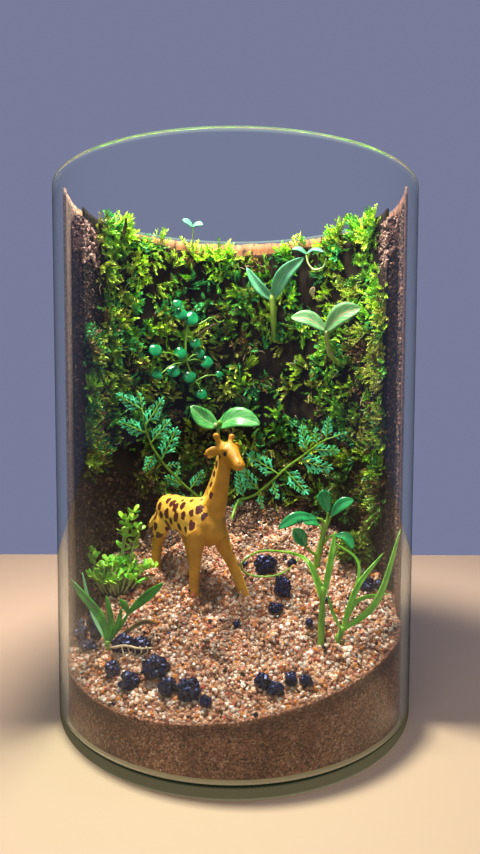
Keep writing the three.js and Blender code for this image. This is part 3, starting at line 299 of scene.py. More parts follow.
def bark_material():
    """Streaked bark, with soil rubbed over both ends of the sheet."""
    material, tree, shader = new_material("bark", 0.72)
    patches = blotches(tree, 85.0, 5.0, 0.42, 0.66, 0.4)
    base = mix_colours(tree, blotches(tree, 420.0, 6.0, 0.38, 0.64, 0.12), "4c2a14", "c08a4e")
    worn = mix_colours(tree, patches, base, "8a4f22")
    shown = mix_colours(tree, blotches(tree, 900.0, 3.0, 0.56, 0.64, 0.35), worn, "3c2212")
    grit = blotches(tree, 1100.0, 4.0, 0.42, 0.6)
    split = put(tree, "ShaderNodeSeparateXYZ", {"Vector": own_place(tree)})
    ragged = math_node(tree, "MULTIPLY_ADD", patches, RAGGED_END, split.outputs["Y"])
    near_front = between(tree, ragged, *END_DEPTHS, END_COVER, 0.0)
    for start, stop, dark, pale in SHEET_ENDS:
        at_end = between(tree, split.outputs["X"], start, stop)
        cover = math_node(tree, "MULTIPLY", at_end, near_front)
        shown = mix_colours(tree, cover, shown, mix_colours(tree, grit, dark, pale))
    return finished(material, tree, shader, shown, Scale=700.0, Strength=0.7, Depth=0.0004, Stretch=0.25)


def soil_material():
    material, tree, shader = new_material("soil", 0.9, Specular_IOR_Level=0.12)
    lumps = blotches(tree, 520.0, 6.0, 0.35, 0.7)
    # damp blotches of an even darker brown
    darkening = blotches(tree, 90.0, 4.0, 0.4, 0.62)
    shown = mix_colours(tree, darkening, mix_colours(tree, lumps, "22150e", "5a3b2a"), "37241a")
    return finished(material, tree, shader, shown, Scale=900.0, Strength=0.9, Depth=0.0005)


def tinted_material(name, roughness, scale, dark=0.55, **values):
    """A finish whose colour comes from each copy's tint, varied by fine blotches."""
    material, tree, shader = new_material(name, roughness, **values)
    spots = blotches(tree, scale, 3.0, 0.36, 0.6)
    level = mix_colours(tree, spots, (dark, dark, dark, 1.0), "ffffff")
    return finished(material, tree, shader, multiplied(tree, attribute(tree, "tint", "Color"), level))


PACKED_SAND = [
    (0.0, "3a2216"),
    (0.15, "6a402c"),
    (0.35, "9a6044"),
    (0.6, "a96d4e"),
    (0.8, "c68a68"),
    (0.93, "e2b69a"),
    (1.0, "964c24"),
]


def sand_body_material():
    """Sand seen through the glass: fine grains, each with its own colour."""
    material, tree, shader = new_material("packed_sand", 0.75)
    cells = put(tree, "ShaderNodeTexVoronoi", {"Vector": own_place(tree), "Scale": 2300.0})
    chance = put(tree, "ShaderNodeSeparateColor", {"Color": cells.outputs["Color"]}).outputs["Red"]
    grains = put(tree, "ShaderNodeValToRGB", {"Fac": chance})
    bands = grains.color_ramp.elements
    for band, (position, code) in zip(bands, (PACKED_SAND[0], PACKED_SAND[-1])):
        band.position = position
        band.color = rgba(code)
    for position, code in PACKED_SAND[1:-1]:
        bands.new(position).color = rgba(code)
    shade = mix_colours(tree, blotches(tree, 70.0, 3.0, 0.35, 0.7), "ffffff", "a8958a")
    # darker in a band a little under the top where the sand meets the glass, and where soil is mixed into the
    # sand
    darker_share = math_node(tree, "MULTIPLY", attribute(tree, "darkening"), 0.8)
    shown = mix_colours(tree, darker_share, multiplied(tree, grains.outputs[0], shade), "2a1810")
    relief = {"Strength": 0.8, "Distance": 0.0003, "Height": cells.outputs["Distance"]}
    bump = put(tree, "ShaderNodeBump", relief, invert=True)
    tree.links.new(bump.outputs[0], shader.inputs["Normal"])
    return finished(material, tree, shader, shown)


def lava_material():
    material, tree, shader = new_material("lava", 0.3, Specular_IOR_Level=0.7)
    shader.inputs["Specular Tint"].default_value = rgba("a8b8ff")
    shown = mix_colours(tree, blotches(tree, 900.0, 5.0, 0.45, 0.7), "060818", "1c2650")
    return finished(material, tree, shader, shown, Scale=1300.0, Detail=2.0, Strength=0.4, Depth=0.0003)


def toy_material():
    """Painted satin toy: ochre, painted lighter over the patched parts as painted light from above and
    behind, with dark ragged patches.
    """
    material, tree, shader = new_material("toy_paint", 0.52, Coat_Weight=0.05, Coat_Roughness=0.35)
    wash = blotches(tree, 200.0, 3.0, 0.35, 0.7)
    plain = mix_colours(tree, wash, "b87e08", "cf9412")
    bright = mix_colours(tree, wash, "f2b436", "ffd256")
    # painted light: the ochre is lighter over the back, flanks and rump, where light falls from above and
    # behind, and stays darker on the chest
    base = mix_colours(tree, attribute(tree, "patched_and_lit"), plain, bright)
    ragged = put(tree, "ShaderNodeTexNoise", {"Vector": own_place(tree), "Scale": 1100.0}).outputs[0]
    uneven = math_node(tree, "MULTIPLY", math_node(tree, "SUBTRACT", ragged, 0.5), 1.1)
    depth = math_node(tree, "ADD", attribute(tree, "patch"), uneven)
    shown = mix_colours(tree, math_node(tree, "GREATER_THAN", depth, 0.0), base, "541b18")
    surface = {"Scale": 1100.0, "Detail": 2.0, "Strength": 0.45, "Depth": 0.0004, "Stretch": 0.25}
    return finished(material, tree, shader, shown, **surface)


def leaf_material(name, pale, deep, vein, roughness, veins, lean, width, strength):
    """A blotched green blade with a midrib and side veins."""
    material, tree, shader = new_material(name, roughness, Specular_IOR_Level=0.55)
    green = mix_colours(tree, blotches(tree, 260.0, 3.0, 0.35, 0.65), pale, deep)
    lines = use_group(tree, "veins", Veins=veins, Lean=lean, Width=width)
    shown = mix_colours(tree, math_node(tree, "MULTIPLY", lines, strength), green, vein)
    return finished(material, tree, shader, shown, Scale=1400.0, Detail=2.0, Strength=0.3, Depth=0.0002)


def stem_material(name, low, high, roughness=0.45, scale=300.0):
    """A streaked finish for stems, roots and other small plain parts."""
    shine = 0.15 if roughness > 0.8 else 0.5
    material, tree, shader = new_material(name, roughness, Specular_IOR_Level=shine)
    shown = mix_colours(tree, blotches(tree, scale, 3.0, 0.35, 0.65, 0.3), low, high)
    surface = {"Scale": 1600.0, "Detail": 2.0, "Strength": 0.3, "Depth": 0.0002, "Stretch": 0.2}
    return finished(material, tree, shader, shown, **surface)


MATERIALS = {
    "glass": glass_material(),
    "bark": bark_material(),
    "soil": soil_material(),
    "crumbs": tinted_material("soil_crumbs", 0.85, 1500.0),
    "moss": tinted_material("moss_leaf", 0.5, 700.0, 0.7, Specular_IOR_Level=0.4),
    "moss_floor": stem_material("moss_floor", "120c06", "2a1f10", 0.95, 420.0),
    "grains": tinted_material("sand_grains", 0.35, 2200.0, 0.72, Specular_IOR_Level=0.6),
    "packed_sand": sand_body_material(),
    "lava": lava_material(),
    "toy": toy_material(),
    "toy_eye": stem_material("toy_eye", "0c0706", "1c100c", 0.15, 900.0),
    "twig": stem_material("twig", "3c2a1b", "7d6248", 0.8, 700.0),
    "root": stem_material("pale_root", "a08a68", "d8c8a4", 0.7, 700.0),
    "pale_stem": stem_material("pale_stem", "9db65c", "cfe0a0", 0.4),
    "green_stem": stem_material("green_stem", "5f9a2c", "8cc23c", 0.4),
    "olive_stem": stem_material("olive_stem", "6a7a2a", "8fb83a", 0.45),
    "seedling_leaf": leaf_material("seedling_leaf", "55b482", "35945e", "82cca2", 0.55, 7.0, 0.5, 0.14, 0.7),
    "long_leaf": leaf_material("long_leaf", "66bf8c", "3fa472", "b4e2bc", 0.5, 1.0, 8.0, 0.3, 0.55),
    "pink_leaf": leaf_material("pink_leaf", "66b46c", "459650", "dc7c72", 0.6, 5.0, 0.9, 0.17, 0.75),
    "round_leaf": leaf_material("round_leaf", "5cb45a", "2f8a3e", "b4dc9a", 0.32, 6.0, 0.8, 0.12, 0.7),
    "coin_leaf": leaf_material("coin_leaf", "178c50", "0b6238", "2aa866", 0.12, 3.0, 0.4, 0.05, 0.3),
    "fern": tinted_material("fern_leaf", 0.42, 900.0, 0.8, Specular_IOR_Level=0.5),
    "cress": tinted_material("cress_leaf", 0.36, 900.0, 0.82, Specular_IOR_Level=0.5),
    "strap": leaf_material("strap_leaf", "38a41e", "1c7014", "5cb83c", 0.2, 0.0, 0.0, 0.0, 0.5),
    "strap_pale": leaf_material("strap_pale_leaf", "7fbf86", "63a86a", "c4e4bc", 0.35, 0.0, 0.0, 0.0, 0.8),
    "strap_brown": leaf_material("strap_brown_leaf", "7a6a36", "5c4c26", "8a7a46", 0.5, 0.0, 0.0, 0.0, 0.5),
    "oval": leaf_material("oval_leaf", "2cac5c", "188846", "6cc896", 0.18, 4.0, 0.7, 0.08, 0.6),
    "grass": leaf_material("grass_leaf", "8fdc40", "62b82c", "b8f070", 0.34, 0.0, 0.0, 0.0, 0.5),
}


# ---------------------------------------------------------------- meshes and pieces


def clear_selection():
    bpy.ops.object.select_all(action="DESELECT")


def pick(*objects):
    """Only these objects are selected, and the first is active."""
    clear_selection()
    for o in objects:
        o.select_set(True)
    bpy.context.view_layer.objects.active = objects[0]


def edit(obj, *steps):
    """Runs edit-mode steps on the whole of a mesh."""
    pick(obj)
    bpy.ops.object.mode_set(mode="EDIT")
    bpy.ops.mesh.select_all(action="SELECT")
    for step in steps:
        step()
    bpy.ops.object.mode_set(mode="OBJECT")


def merge_close(distance=0.002):
    bpy.ops.mesh.remove_doubles(threshold=distance * MM)


def face_outward():
    bpy.ops.mesh.normals_make_consistent(inside=False)


def apply_modifier(obj, kind, **settings):
    pick(obj)
    modifier = obj.modifiers.new(kind.lower(), kind)
    for label, value in settings.items():
        setattr(modifier, label, value)
    bpy.ops.object.modifier_apply(modifier=modifier.name)


def dress(obj, material, smooth=True):
    """Gives a whole shape one finish."""
    obj.data.materials.clear()
    obj.data.materials.append(MATERIALS[material])
    obj.data.polygons.foreach_set("use_smooth", [smooth] * len(obj.data.polygons))
    return obj


def settle(name, objects, nodes=()):
    """Joins shapes into one named piece that rides on the object and stands for CAD nodes."""
    pick(*objects)
    if len(objects) > 1:
        bpy.ops.object.join()
    piece = bpy.context.view_layer.objects.active
    bpy.ops.object.transform_apply(location=True, rotation=True, scale=True)
    piece.name = name
    piece.data.name = name
    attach(piece, "root")
    if nodes:
        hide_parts(*nodes)
    return piece


def unit(vectors):
    return vectors / np.maximum(np.linalg.norm(vectors, axis=-1, keepdims=True), 1e-9)


def curve_points(points, count):
    """Points of a smooth curve through the given ones."""
    p = np.array(points, float)
    p = np.vstack([2 * p[0] - p[1], p, 2 * p[-1] - p[-2]])
    spans = len(p) - 3
    line = []
    for t in np.linspace(0, spans, count):
        i = min(int(t), spans - 1)
        s = t - i
        a, b, c, d = p[i : i + 4]
        cubic = (3 * b - a - 3 * c + d) * s**3
        line.append(0.5 * (2 * b + (c - a) * s + (2 * a - 5 * b + 4 * c - d) * s * s + cubic))
    return np.array(line)


def tangents(line):
    return unit(np.gradient(line, axis=0))


def polar(radius, azimuth, z):
    turn = math.radians(azimuth)
    return np.array([radius * math.cos(turn), radius * math.sin(turn), z])


def model_arrays(obj):
    """A modelled shape's points and triangles in mm, after which the shape is removed."""
    mesh = obj.data
    mesh.calc_loop_triangles()
    points = np.empty(len(mesh.vertices) * 3)
    mesh.vertices.foreach_get("co", points)
    triangles = np.empty(len(mesh.loop_triangles) * 3, np.int32)
    mesh.loop_triangles.foreach_get("vertices", triangles)
    bpy.data.objects.remove(obj)
    return points.reshape(-1, 3) / MM, triangles.reshape(-1, 3)


def turned(directions, spins):
    """Rotations that stand a shape's Z along each direction, spun about it."""
    z = unit(directions)
    helper = np.where(np.abs(z[:, 2:3]) > 0.9, [[1.0, 0, 0]], [[0, 0, 1.0]])
    x = unit(np.cross(helper, z))
    y = np.cross(z, x)
    cos, sin = np.cos(spins)[:, None], np.sin(spins)[:, None]
    return np.stack([x * cos + y * sin, y * cos - x * sin, z], axis=2)


def copies(shape, rotations, sizes, places, colours, shade=None):
    """Copies of a small shape as points, triangles and colours."""
    points, triangles = shape
    count = len(places)
    scaled = points[None] * np.asarray(sizes).reshape(count, 1, -1)
    moved = np.einsum("nij,nvj->nvi", rotations, scaled) + np.asarray(places)[:, None]
    faces = triangles[None] + (np.arange(count) * len(points))[:, None, None]
    shade = np.ones(len(points)) if shade is None else shade
    tint = np.asarray(colours)[:, None] * shade[None, :, None]
    return moved.reshape(-1, 3), faces.reshape(-1, 3), tint.reshape(-1, 3)


def grown(name, parts, material, smooth=False):
    """One mesh object from several runs of copies."""
    points, faces, tints, start = [], [], [], 0
    for co, tris, tint in parts:
        points.append(co)
        faces.append(tris + start)
        tints.append(tint)
        start += len(co)
    mesh = bpy.data.meshes.new(name)
    mesh.from_pydata(np.vstack(points) * MM, [], np.vstack(faces))
    tint = np.ones((start, 4))
    tint[:, :3] = np.vstack(tints)
    mesh.color_attributes.new("tint", "FLOAT_COLOR", "POINT").data.foreach_set("color", tint.ravel())
    obj = bpy.data.objects.new(name, mesh)
    bpy.context.scene.collection.objects.link(obj)
    return dress(obj, material, smooth)


def scattered(rng, shapes, places, sizes, tints, groups):
    """Copies of a few shapes at their places, turned at random, as a run for each group of places."""
    kinds = rng.integers(0, len(shapes), len(places))
    runs = [[] for _ in groups]
    for kind, shape in enumerate(shapes):
        own = np.flatnonzero(kinds == kind)
        turns = turned(rng.normal(size=(len(own), 3)), rng.uniform(0, FULL_TURN, len(own)))
        for run, group in zip(runs, groups):
            here = group[own]
            some = own[here]
            run.append(copies(shape, turns[here], sizes[some], places[some], tints[some]))
    return runs


def slab(across, up, place, deep=1):
    """A grid drawn out into a slab and bent: place gives each point from its shares across, up and deep."""
    clear_selection()
    bpy.ops.mesh.primitive_grid_add(x_subdivisions=across, y_subdivisions=up, size=2)
    obj = bpy.context.object
    draw_out = [lambda: bpy.ops.mesh.extrude_region_move(TRANSFORM_OT_translate={"value": (0, 0, 1)})]
    edit(obj, *(draw_out * deep))
    for vertex in obj.data.vertices:
        shares = ((vertex.co.x + 1) / 2, (vertex.co.y + 1) / 2, vertex.co.z / deep)
        vertex.co = Vector(place(*shares)) * MM
    edit(obj, face_outward)
    return obj


def stems(paths, material, count=12, resolution=1):
    """Round stems along smooth curves; each path is its points and its radii from foot to tip."""
    curve = bpy.data.curves.new("stems", "CURVE")
    curve.dimensions = "3D"
    curve.bevel_depth = MM
    curve.bevel_resolution = resolution
    curve.use_fill_caps = True
    for points, radii in paths:
        line = curve_points(points, count)
        sizes = np.interp(np.linspace(0, 1, count), np.linspace(0, 1, len(radii)), radii)
        spline = curve.splines.new("POLY")
        spline.points.add(count - 1)
        for knot, place, size in zip(spline.points, line, sizes):
            knot.co = (*(place * MM), 1.0)
            knot.radius = size
    obj = bpy.data.objects.new("stems", curve)
    bpy.context.scene.collection.objects.link(obj)
    pick(obj)
    bpy.ops.object.convert(target="MESH")
    obj = bpy.context.view_layer.objects.active
    edit(obj, merge_close, face_outward)
    return dress(obj, material)


def leaf_half(t, half, widest, base, tip, stalk=0.0):
    """Half width of a leaf at a share of its length, after a stalk of even width."""
    if t < stalk:
        return half * base
    if t < widest:
        return half * (base + (1 - base) * math.sin(math.pi / 2 * (t - stalk) / (widest - stalk)))
    return half * max(math.cos(math.pi / 2 * (t - widest) / (1 - widest)) ** 0.65, tip)


def leaf(points, half, widest, face, material, fold=0.3, cup=0.0, wave=0.0, thickness=0.28, **ends):
    """A leaf blade along a curve: a grid moved to its outline, folded and cupped, then thickened."""
    across, along = 6, 16
    clear_selection()
    bpy.ops.mesh.primitive_grid_add(x_subdivisions=across, y_subdivisions=along, size=2)
    obj = bpy.context.object
    obj.data.uv_layers[0].name = "leaf"
    line = curve_points(points, along + 1)
    ahead = tangents(line)
    side = unit(np.cross(ahead, np.array(face, float)))
    top = np.cross(side, ahead)
    for vertex in obj.data.vertices:
        x = vertex.co.x
        row = round((vertex.co.y + 1) / 2 * along)
        outline = (ends.get("base", 0.25), ends.get("tip", 0.05), ends.get("stalk", 0.0))
        width = leaf_half(row / along, half, widest, *outline)
        lift = (fold * abs(x) + cup * x * x) * width + wave * half * math.sin(row * 1.3) * x * x
        vertex.co = Vector(line[row] + side[row] * x * width + top[row] * lift) * MM
    apply_modifier(obj, "SOLIDIFY", thickness=thickness * MM, offset=0.0)
    return dress(obj, material)


def ball(place, sizes, material, detail=3, spin=0.0):
    """A round or squashed lump."""
    clear_selection()
    bpy.ops.mesh.primitive_ico_sphere_add(subdivisions=detail, radius=1, location=Vector(place) * MM)
    obj = bpy.context.object
    obj.scale = Vector(sizes) * MM
    obj.rotation_euler = (0, 0, spin)
    bpy.ops.object.transform_apply(location=True, rotation=True, scale=True)
    return dress(obj, material)


# ---------------------------------------------------------------- forms shared with the solids


def sideways(azimuth):
    """How far round to the sides an azimuth lies: 1 at both sides and 0 at the back."""
    return math.cos(math.radians(azimuth)) ** 2


def table_value(rows, value):
    """What a table of pairs gives for a value between its rows."""
    return float(np.interp(value, *zip(*rows)))


def soil_radius(azimuth):
    return SOIL_BACK_RADIUS + SOIL_SIDE_EXTRA * sideways(azimuth)


def soil_top(azimuth):
    return SOIL_TOP + SOIL_TOP_SIDE_EXTRA * sideways(azimuth)


def moss_foot(azimuth):
    return table_value(MOSS_FOOT, azimuth)


def moss_top(azimuth):
    return MOSS_TOP + MOSS_TOP_SIDE_EXTRA * sideways(azimuth)


def moss_split(azimuth):
    waves = 5 * math.sin(math.radians(azimuth * 3)) + 2.5 * math.sin(math.radians(azimuth * 7))
    return MAT_SPLIT_HEIGHT + waves


def moss_seam(column, z):
    outermost = column in (0, len(MAT_COLUMNS) - 1)
    wave = 2.6 * math.sin(0.12 * z + 2 * column) + 0.5 * math.sin(0.27 * z + column)
    return MAT_COLUMNS[column] + (0.35 if outermost else 1.0) * wave


def sand_height(x, y):
    """Height of the sand bank, without its lumps."""
    across, back = x / JAR_RADIUS, y / JAR_RADIUS
    slope = 43.5 + 5 * across + 22.3 * back - 3 * across * back
    return slope - 8.8 * across * across - 1.7 * back * back


def sand_reach(azimuth):
    azimuth = (azimuth + 90) % 360 - 90
    if SOIL_AZIMUTHS[0] - 0.6 < azimuth < SOIL_AZIMUTHS[1] + 0.6:
        return soil_radius(azimuth) - 0.45
    if SHEET_AZIMUTHS[0] - 0.6 < azimuth < SHEET_AZIMUTHS[1] + 0.6:
        return SHEET_INNER - 0.4
    return BORE - 0.3


def on_sand(x, y, lift=0.0):
    return np.array([x, y, sand_height(x, y) + lift])


def cloud(x, y, z, size):
    """Smooth noise between -1 and 1 whose lumps measure about the given size in mm."""
    return noise.noise(Vector((x, y, z)) / size)


# ---------------------------------------------------------------- jar, bark sheet and soil


def jar_profile():
    def arc(centre_x, centre_z, radius, start, stop, steps):
        turns = [math.radians(start + (stop - start) * i / steps) for i in range(steps + 1)]
        return [(centre_x + radius * math.cos(t), centre_z + radius * math.sin(t)) for t in turns]

    lip = JAR_WALL / 2
    # rings close to each rounding keep the straight walls between them optically flat
    near = 0.4
    return [
        (0.0, 0.0),
        (JAR_RADIUS - FOOT_ROUNDING - near, 0.0),
        *arc(JAR_RADIUS - FOOT_ROUNDING, FOOT_ROUNDING, FOOT_ROUNDING, -90, 0, 8),
        (JAR_RADIUS, FOOT_ROUNDING + near),
        (JAR_RADIUS, JAR_HEIGHT - lip - near),
        *arc(JAR_RADIUS - lip, JAR_HEIGHT - lip, lip, 0, 180, 14),
        (BORE, JAR_HEIGHT - lip - near),
        (BORE, JAR_FLOOR + INNER_ROUNDING + near),
        *arc(BORE - INNER_ROUNDING, JAR_FLOOR + INNER_ROUNDING, INNER_ROUNDING, 0, -90, 5),
        (BORE - INNER_ROUNDING - near, JAR_FLOOR),
        (0.0, JAR_FLOOR),
    ]


def spun(profile, steps):
    """A closed shape turned from a profile of radius and height that starts and ends on the axis."""
    mesh = bpy.data.meshes.new("profile")
    points = [(x * MM, 0.0, z * MM) for x, z in profile]
    mesh.from_pydata(points, [(i, i + 1) for i in range(len(points) - 1)], [])
    obj = bpy.data.objects.new("profile", mesh)
    bpy.context.scene.collection.objects.link(obj)

    def turn_round():
        bpy.ops.mesh.spin(steps=steps, angle=2 * math.pi, center=(0, 0, 0), axis=(0, 0, 1))

    edit(obj, turn_round, merge_close, face_outward)
    return obj


def jar_piece():
    obj = dress(spun(jar_profile(), 192), "glass")
    pick(obj)
    bpy.ops.object.shade_smooth_by_angle(angle=math.radians(40))
    settle("jar_glass", [obj], ["jar"])


def bark_piece():
    low, high = SHEET_AZIMUTHS

    def place(u, v, w):
        azimuth = low + (high - low) * u
        ragged = 0.5 * cloud(azimuth, 0, 3, 5) + 0.35 * cloud(azimuth, 7, 1, 1.7)
        z = SHEET_HEIGHTS[0] + (SHEET_HEIGHTS[1] - 0.4 + ragged - SHEET_HEIGHTS[0]) * v
        radius = SHEET_OUTER - SHEET_THICKNESS * w - 0.12 * (1 + cloud(azimuth, z / 3, w, 1.6))
        return polar(radius, azimuth, z)

    obj = dress(slab(200, 60, place), "bark")
    settle("bark_lining", [obj], ["bark_sheet"])


def crumb_shapes(kinds, seed, jitter=0.3):
    """A few small rough lumps, to be copied."""
    rng = np.random.default_rng(seed)
    shapes = []
    for _ in range(kinds):
        clear_selection()
        bpy.ops.mesh.primitive_ico_sphere_add(subdivisions=1, radius=MM)
        points, triangles = model_arrays(bpy.context.object)
        shapes.append((points * (1 + jitter * rng.uniform(-1, 1, (len(points), 1))), triangles))
    return shapes


SOIL_TONES = [colour(c) for c in ("2a1a12", "4a2f20", "6b4a36", "8d6a52", "b08a70", "36241a")]
SOIL_SHARES = [0.28, 0.28, 0.18, 0.1, 0.04, 0.12]
PINK_GRANULES = colour("c39a8c")
SHEET_GRIT = colour("a8806c")
SMALL_CRUMB = (0.25, 0.6)
CRUMBS_FROM = 44


def dark_tone(rng):
    return SOIL_TONES[rng.choice(len(SOIL_TONES), p=SOIL_SHARES)]


def open_side_crumbs(rng, edge, sign, lump_foot):
    """The open side of the layer, with a lump of pinkish granules at its top."""
    for _ in range(1500):
        z = rng.uniform(CRUMBS_FROM, soil_top(edge))
        radius = rng.uniform(soil_radius(edge) - 0.5, SOIL_OUTER - 0.4)
        lump = z + 3 * cloud(radius, z, 0, 4) > lump_foot
        tone = PINK_GRANULES if lump and rng.random() < 0.75 else dark_tone(rng)
        place = polar(radius, edge + 0.35 * sign * rng.random(), z)
        yield place, rng.uniform(*SMALL_CRUMB), tone


def bare_wall_crumbs(rng, edge, sign, lump_foot):
    """Crumbs on the wall round the corner from an open side, where no moss covers it."""
    for _ in range(1300):
        azimuth = edge - sign * rng.random() ** 1.5 * 20
        foot = moss_foot(azimuth)
        z = rng.uniform(foot if rng.random() < 0.7 else 46, soil_top(edge))
        if bare(azimuth, z) < 0.5 and z > foot:
            continue
        radius = soil_radius(azimuth)
        if z > foot:
            radius -= MAT_CLEARANCE + cushion_depth(azimuth, z)
        lump = z + 4 * cloud(azimuth, z, 0, 4) > lump_foot - 2
        tone = PINK_GRANULES if lump and rng.random() < 0.8 else dark_tone(rng)
        size = rng.uniform(0.45, 0.95) if lump else rng.uniform(*SMALL_CRUMB)
        yield polar(radius + 0.1, azimuth, z + 0.3), size, tone


def foot_and_top_crumbs(rng):
    """Crumbs under the moss and along the top of the layer, between its two open sides."""
    for _ in range(2600):
        azimuth = rng.uniform(*SOIL_AZIMUTHS)
        if rng.random() < 0.5:
            place = polar(soil_radius(azimuth) + 0.2, azimuth, moss_foot(azimuth) - 26 * rng.random())
            size = rng.uniform(*SMALL_CRUMB)
            yield place, size, dark_tone(rng)
        else:
            radius = rng.uniform(soil_radius(azimuth), SOIL_OUTER - 0.5)
            tone = dark_tone(rng)
            place = polar(radius, azimuth, soil_top(azimuth) + rng.uniform(-0.3, 0.8))
            yield place, rng.uniform(0.3, 0.7), tone


def hollow_crumbs(rng):
    """Damp clots in the hollow under the moss on the left."""
    for _ in range(1700):
        azimuth = rng.uniform(112, SOIL_AZIMUTHS[1])
        z = moss_foot(azimuth) - 34 * rng.random() + 4
        tone = dark_tone(rng)
        yield polar(soil_radius(azimuth) + 0.1, azimuth, z), rng.uniform(0.35, 0.95), tone


def sheet_crumbs(rng):
    """Grit stuck to the bare end of the sheet on the right."""
    for _ in range(1500):
        tone = SHEET_GRIT if rng.random() < 0.4 else dark_tone(rng)
        azimuth = rng.uniform(SHEET_AZIMUTHS[0] + 1.5, SOIL_AZIMUTHS[0] - 0.5)
        place = polar(SHEET_INNER - 0.45, azimuth, rng.uniform(CRUMBS_FROM, 166))
        yield place, rng.uniform(0.25, 0.5), tone


def soil_piece():
    low, high = SOIL_AZIMUTHS

    def place(u, v, w):
        azimuth = low + (high - low) * u
        rough = 0.5 * cloud(azimuth, v * 150, 0, 4) + 0.3 * cloud(azimuth * 2, v * 150, 5, 1.7)
        top = soil_top(azimuth) + 1.6 * cloud(azimuth, 2, 0, 6)
        z = SOIL_BOTTOM + (top - SOIL_BOTTOM) * v
        front = soil_radius(azimuth) + 0.45 + rough
        side = 0.6 * cloud(w * 6, z, 3, 2.4) if u in (0.0, 1.0) else 0.0
        return polar(SOIL_OUTER + (front - SOIL_OUTER) * w, azimuth + side, z)

    wall = dress(slab(150, 100, place, 5), "soil")
    rng = np.random.default_rng(5)
    sources = []
    for side in ((low, -1, 152.0), (high, 1, 153.0)):
        sources += [open_side_crumbs(rng, *side), bare_wall_crumbs(rng, *side)]
    sources += [foot_and_top_crumbs(rng), hollow_crumbs(rng), sheet_crumbs(rng)]
    crumbs = []
    for source in sources:
        for spot, size, tone in source:
            crumbs.append((spot, size, np.array(tone) * rng.uniform(0.6, 1.2)))
    places, sizes, tints = map(np.array, zip(*crumbs))
    on_left = places[:, 0] < 0
    runs = scattered(rng, crumb_shapes(4, 6), places, sizes, tints, [on_left, ~on_left])
    settle("soil_wall", [wall], ["soil_layer"])
    for side, run in zip(("left", "right"), runs):
        settle(f"soil_crumbs_{side}", [grown("crumbs", run, "crumbs")])


# ---------------------------------------------------------------- moss


def leaflet_model():
    """One moss leaflet: a three-sided cone drawn flat, foot at the origin and tip along Z."""
    clear_selection()
    bpy.ops.mesh.primitive_cone_add(vertices=3, radius1=MM, radius2=0, depth=MM)
    points, triangles = model_arrays(bpy.context.object)
    shape = np.array([[0.0, 0.0, 0.0], [0.19, 0.05, 0.45], [-0.19, 0.05, 0.45], [0.0, 0.14, 1.0]])
    a, b, c = shape[triangles[0]]
    inward = np.dot(np.cross(b - a, c - a), a - shape.mean(0)) < 0
    return shape, triangles[:, ::-1] if inward else triangles


def sprig_model(leaflet, leaves, bend, seed):
    """A feathery shoot one unit long: a bent three-sided stem with leaflets in two rows and on top."""
    rng = random.Random(seed)
    clear_selection()
    bpy.ops.mesh.primitive_cone_add(vertices=3, radius1=0.035 * MM, radius2=0.012 * MM, depth=MM)
    stem, stem_faces = model_arrays(bpy.context.object)
    stem[:, 2] += 0.5
    stem[:, 1] += bend * stem[:, 2] ** 2
    points, faces, heights = [stem], [stem_faces], [stem[:, 2]]
    start = len(stem)
    for i in range(leaves):
        share = 0.14 + 0.84 * (i + 0.5) / leaves
        row = (0.0, math.pi, math.pi / 2)[i % 3]
        around = row + rng.uniform(-0.35, 0.35)
        out = np.array([math.cos(around), math.sin(around), rng.uniform(0.7, 1.1) + 0.6 * share**3])
        turn = turned(out[None], np.array([rng.uniform(-0.5, 0.5)]))[0]
        length = (0.34 - 0.3 * abs(share - 0.5) ** 1.5) * rng.uniform(0.8, 1.2)
        foot = np.array([0.0, bend * share * share, share])
        points.append(leaflet[0] * length @ turn.T + foot)
        faces.append(leaflet[1] + start)
        heights.append(share + 0.2 * leaflet[0][:, 2])
        start += len(leaflet[0])
    return np.vstack(points), np.vstack(faces), np.concatenate(heights)


def sprig_models():
    leaflet = leaflet_model()
    return [sprig_model(leaflet, 15, 0.1 + 0.09 * i, 90 + i) for i in range(6)]


MOSS_COLOURS = [colour(c) for c in ("aed430", "80bc26", "549c2a", "44a656", "c8dc50", "8c9430", "705428")]


def ramp(value, low, high):
    return min(max((value - low) / (high - low), 0.0), 1.0)


def moss_tint(rng, azimuth, z):
    """Colour of a tuft: yellower near the top, duller and browner low down, and brighter near the top as
    painted light from above.
    """
    height = ramp(z, 58, 165)
    lush = 0.5 + 0.5 * cloud(azimuth * 0.85, z, 70, 16)
    bright = [0.1 + 0.5 * height * lush, 0.3, 0.25, 0.2 * (1 - lush) + 0.06, 0.05 + 0.16 * height * lush]
    dull = [0.4 * (1 - height) + 0.07, 0.26 * (1 - height) + 0.05]
    weights = np.array(bright + dull)
    # painted light: tufts are brighter the higher they stand on the wall, where the lamp above lights them
    level = (0.7 + 1.0 * height) * (0.7 + 0.55 * lush) * rng.uniform(0.7, 1.25)
    return np.array(MOSS_COLOURS[rng.choice(len(weights), p=weights / weights.sum())]) * level


def bare(azimuth, z):
    """How bare of moss the wall is, from 0 to 1: open soil shows near the top of both sides."""
    ragged = 2.5 * cloud(azimuth * 0.85, z, 33, 5)
    left = ramp(azimuth + ragged, 165, 170) * ramp(z + ragged, 122, 127)
    right = (1 - ramp(azimuth + ragged, 4, 8)) * ramp(z + ragged, 146, 150)
    hollow = ramp(cloud(azimuth * 0.85, z, 55, 9), 0.28, 0.42) * 0.85
    return max(left, right, hollow)


def cushion_depth(azimuth, z):
    """How far the moss cushion stands off the soil, in mm."""
    lumps = 0.5 + 0.5 * cloud(azimuth * 0.85, z, 20, 11) + 0.3 * cloud(azimuth * 0.85, z, 4, 5)
    return 0.5 + 2.9 * min(max(lumps, 0), 1) * (1 - 0.85 * bare(azimuth, z))


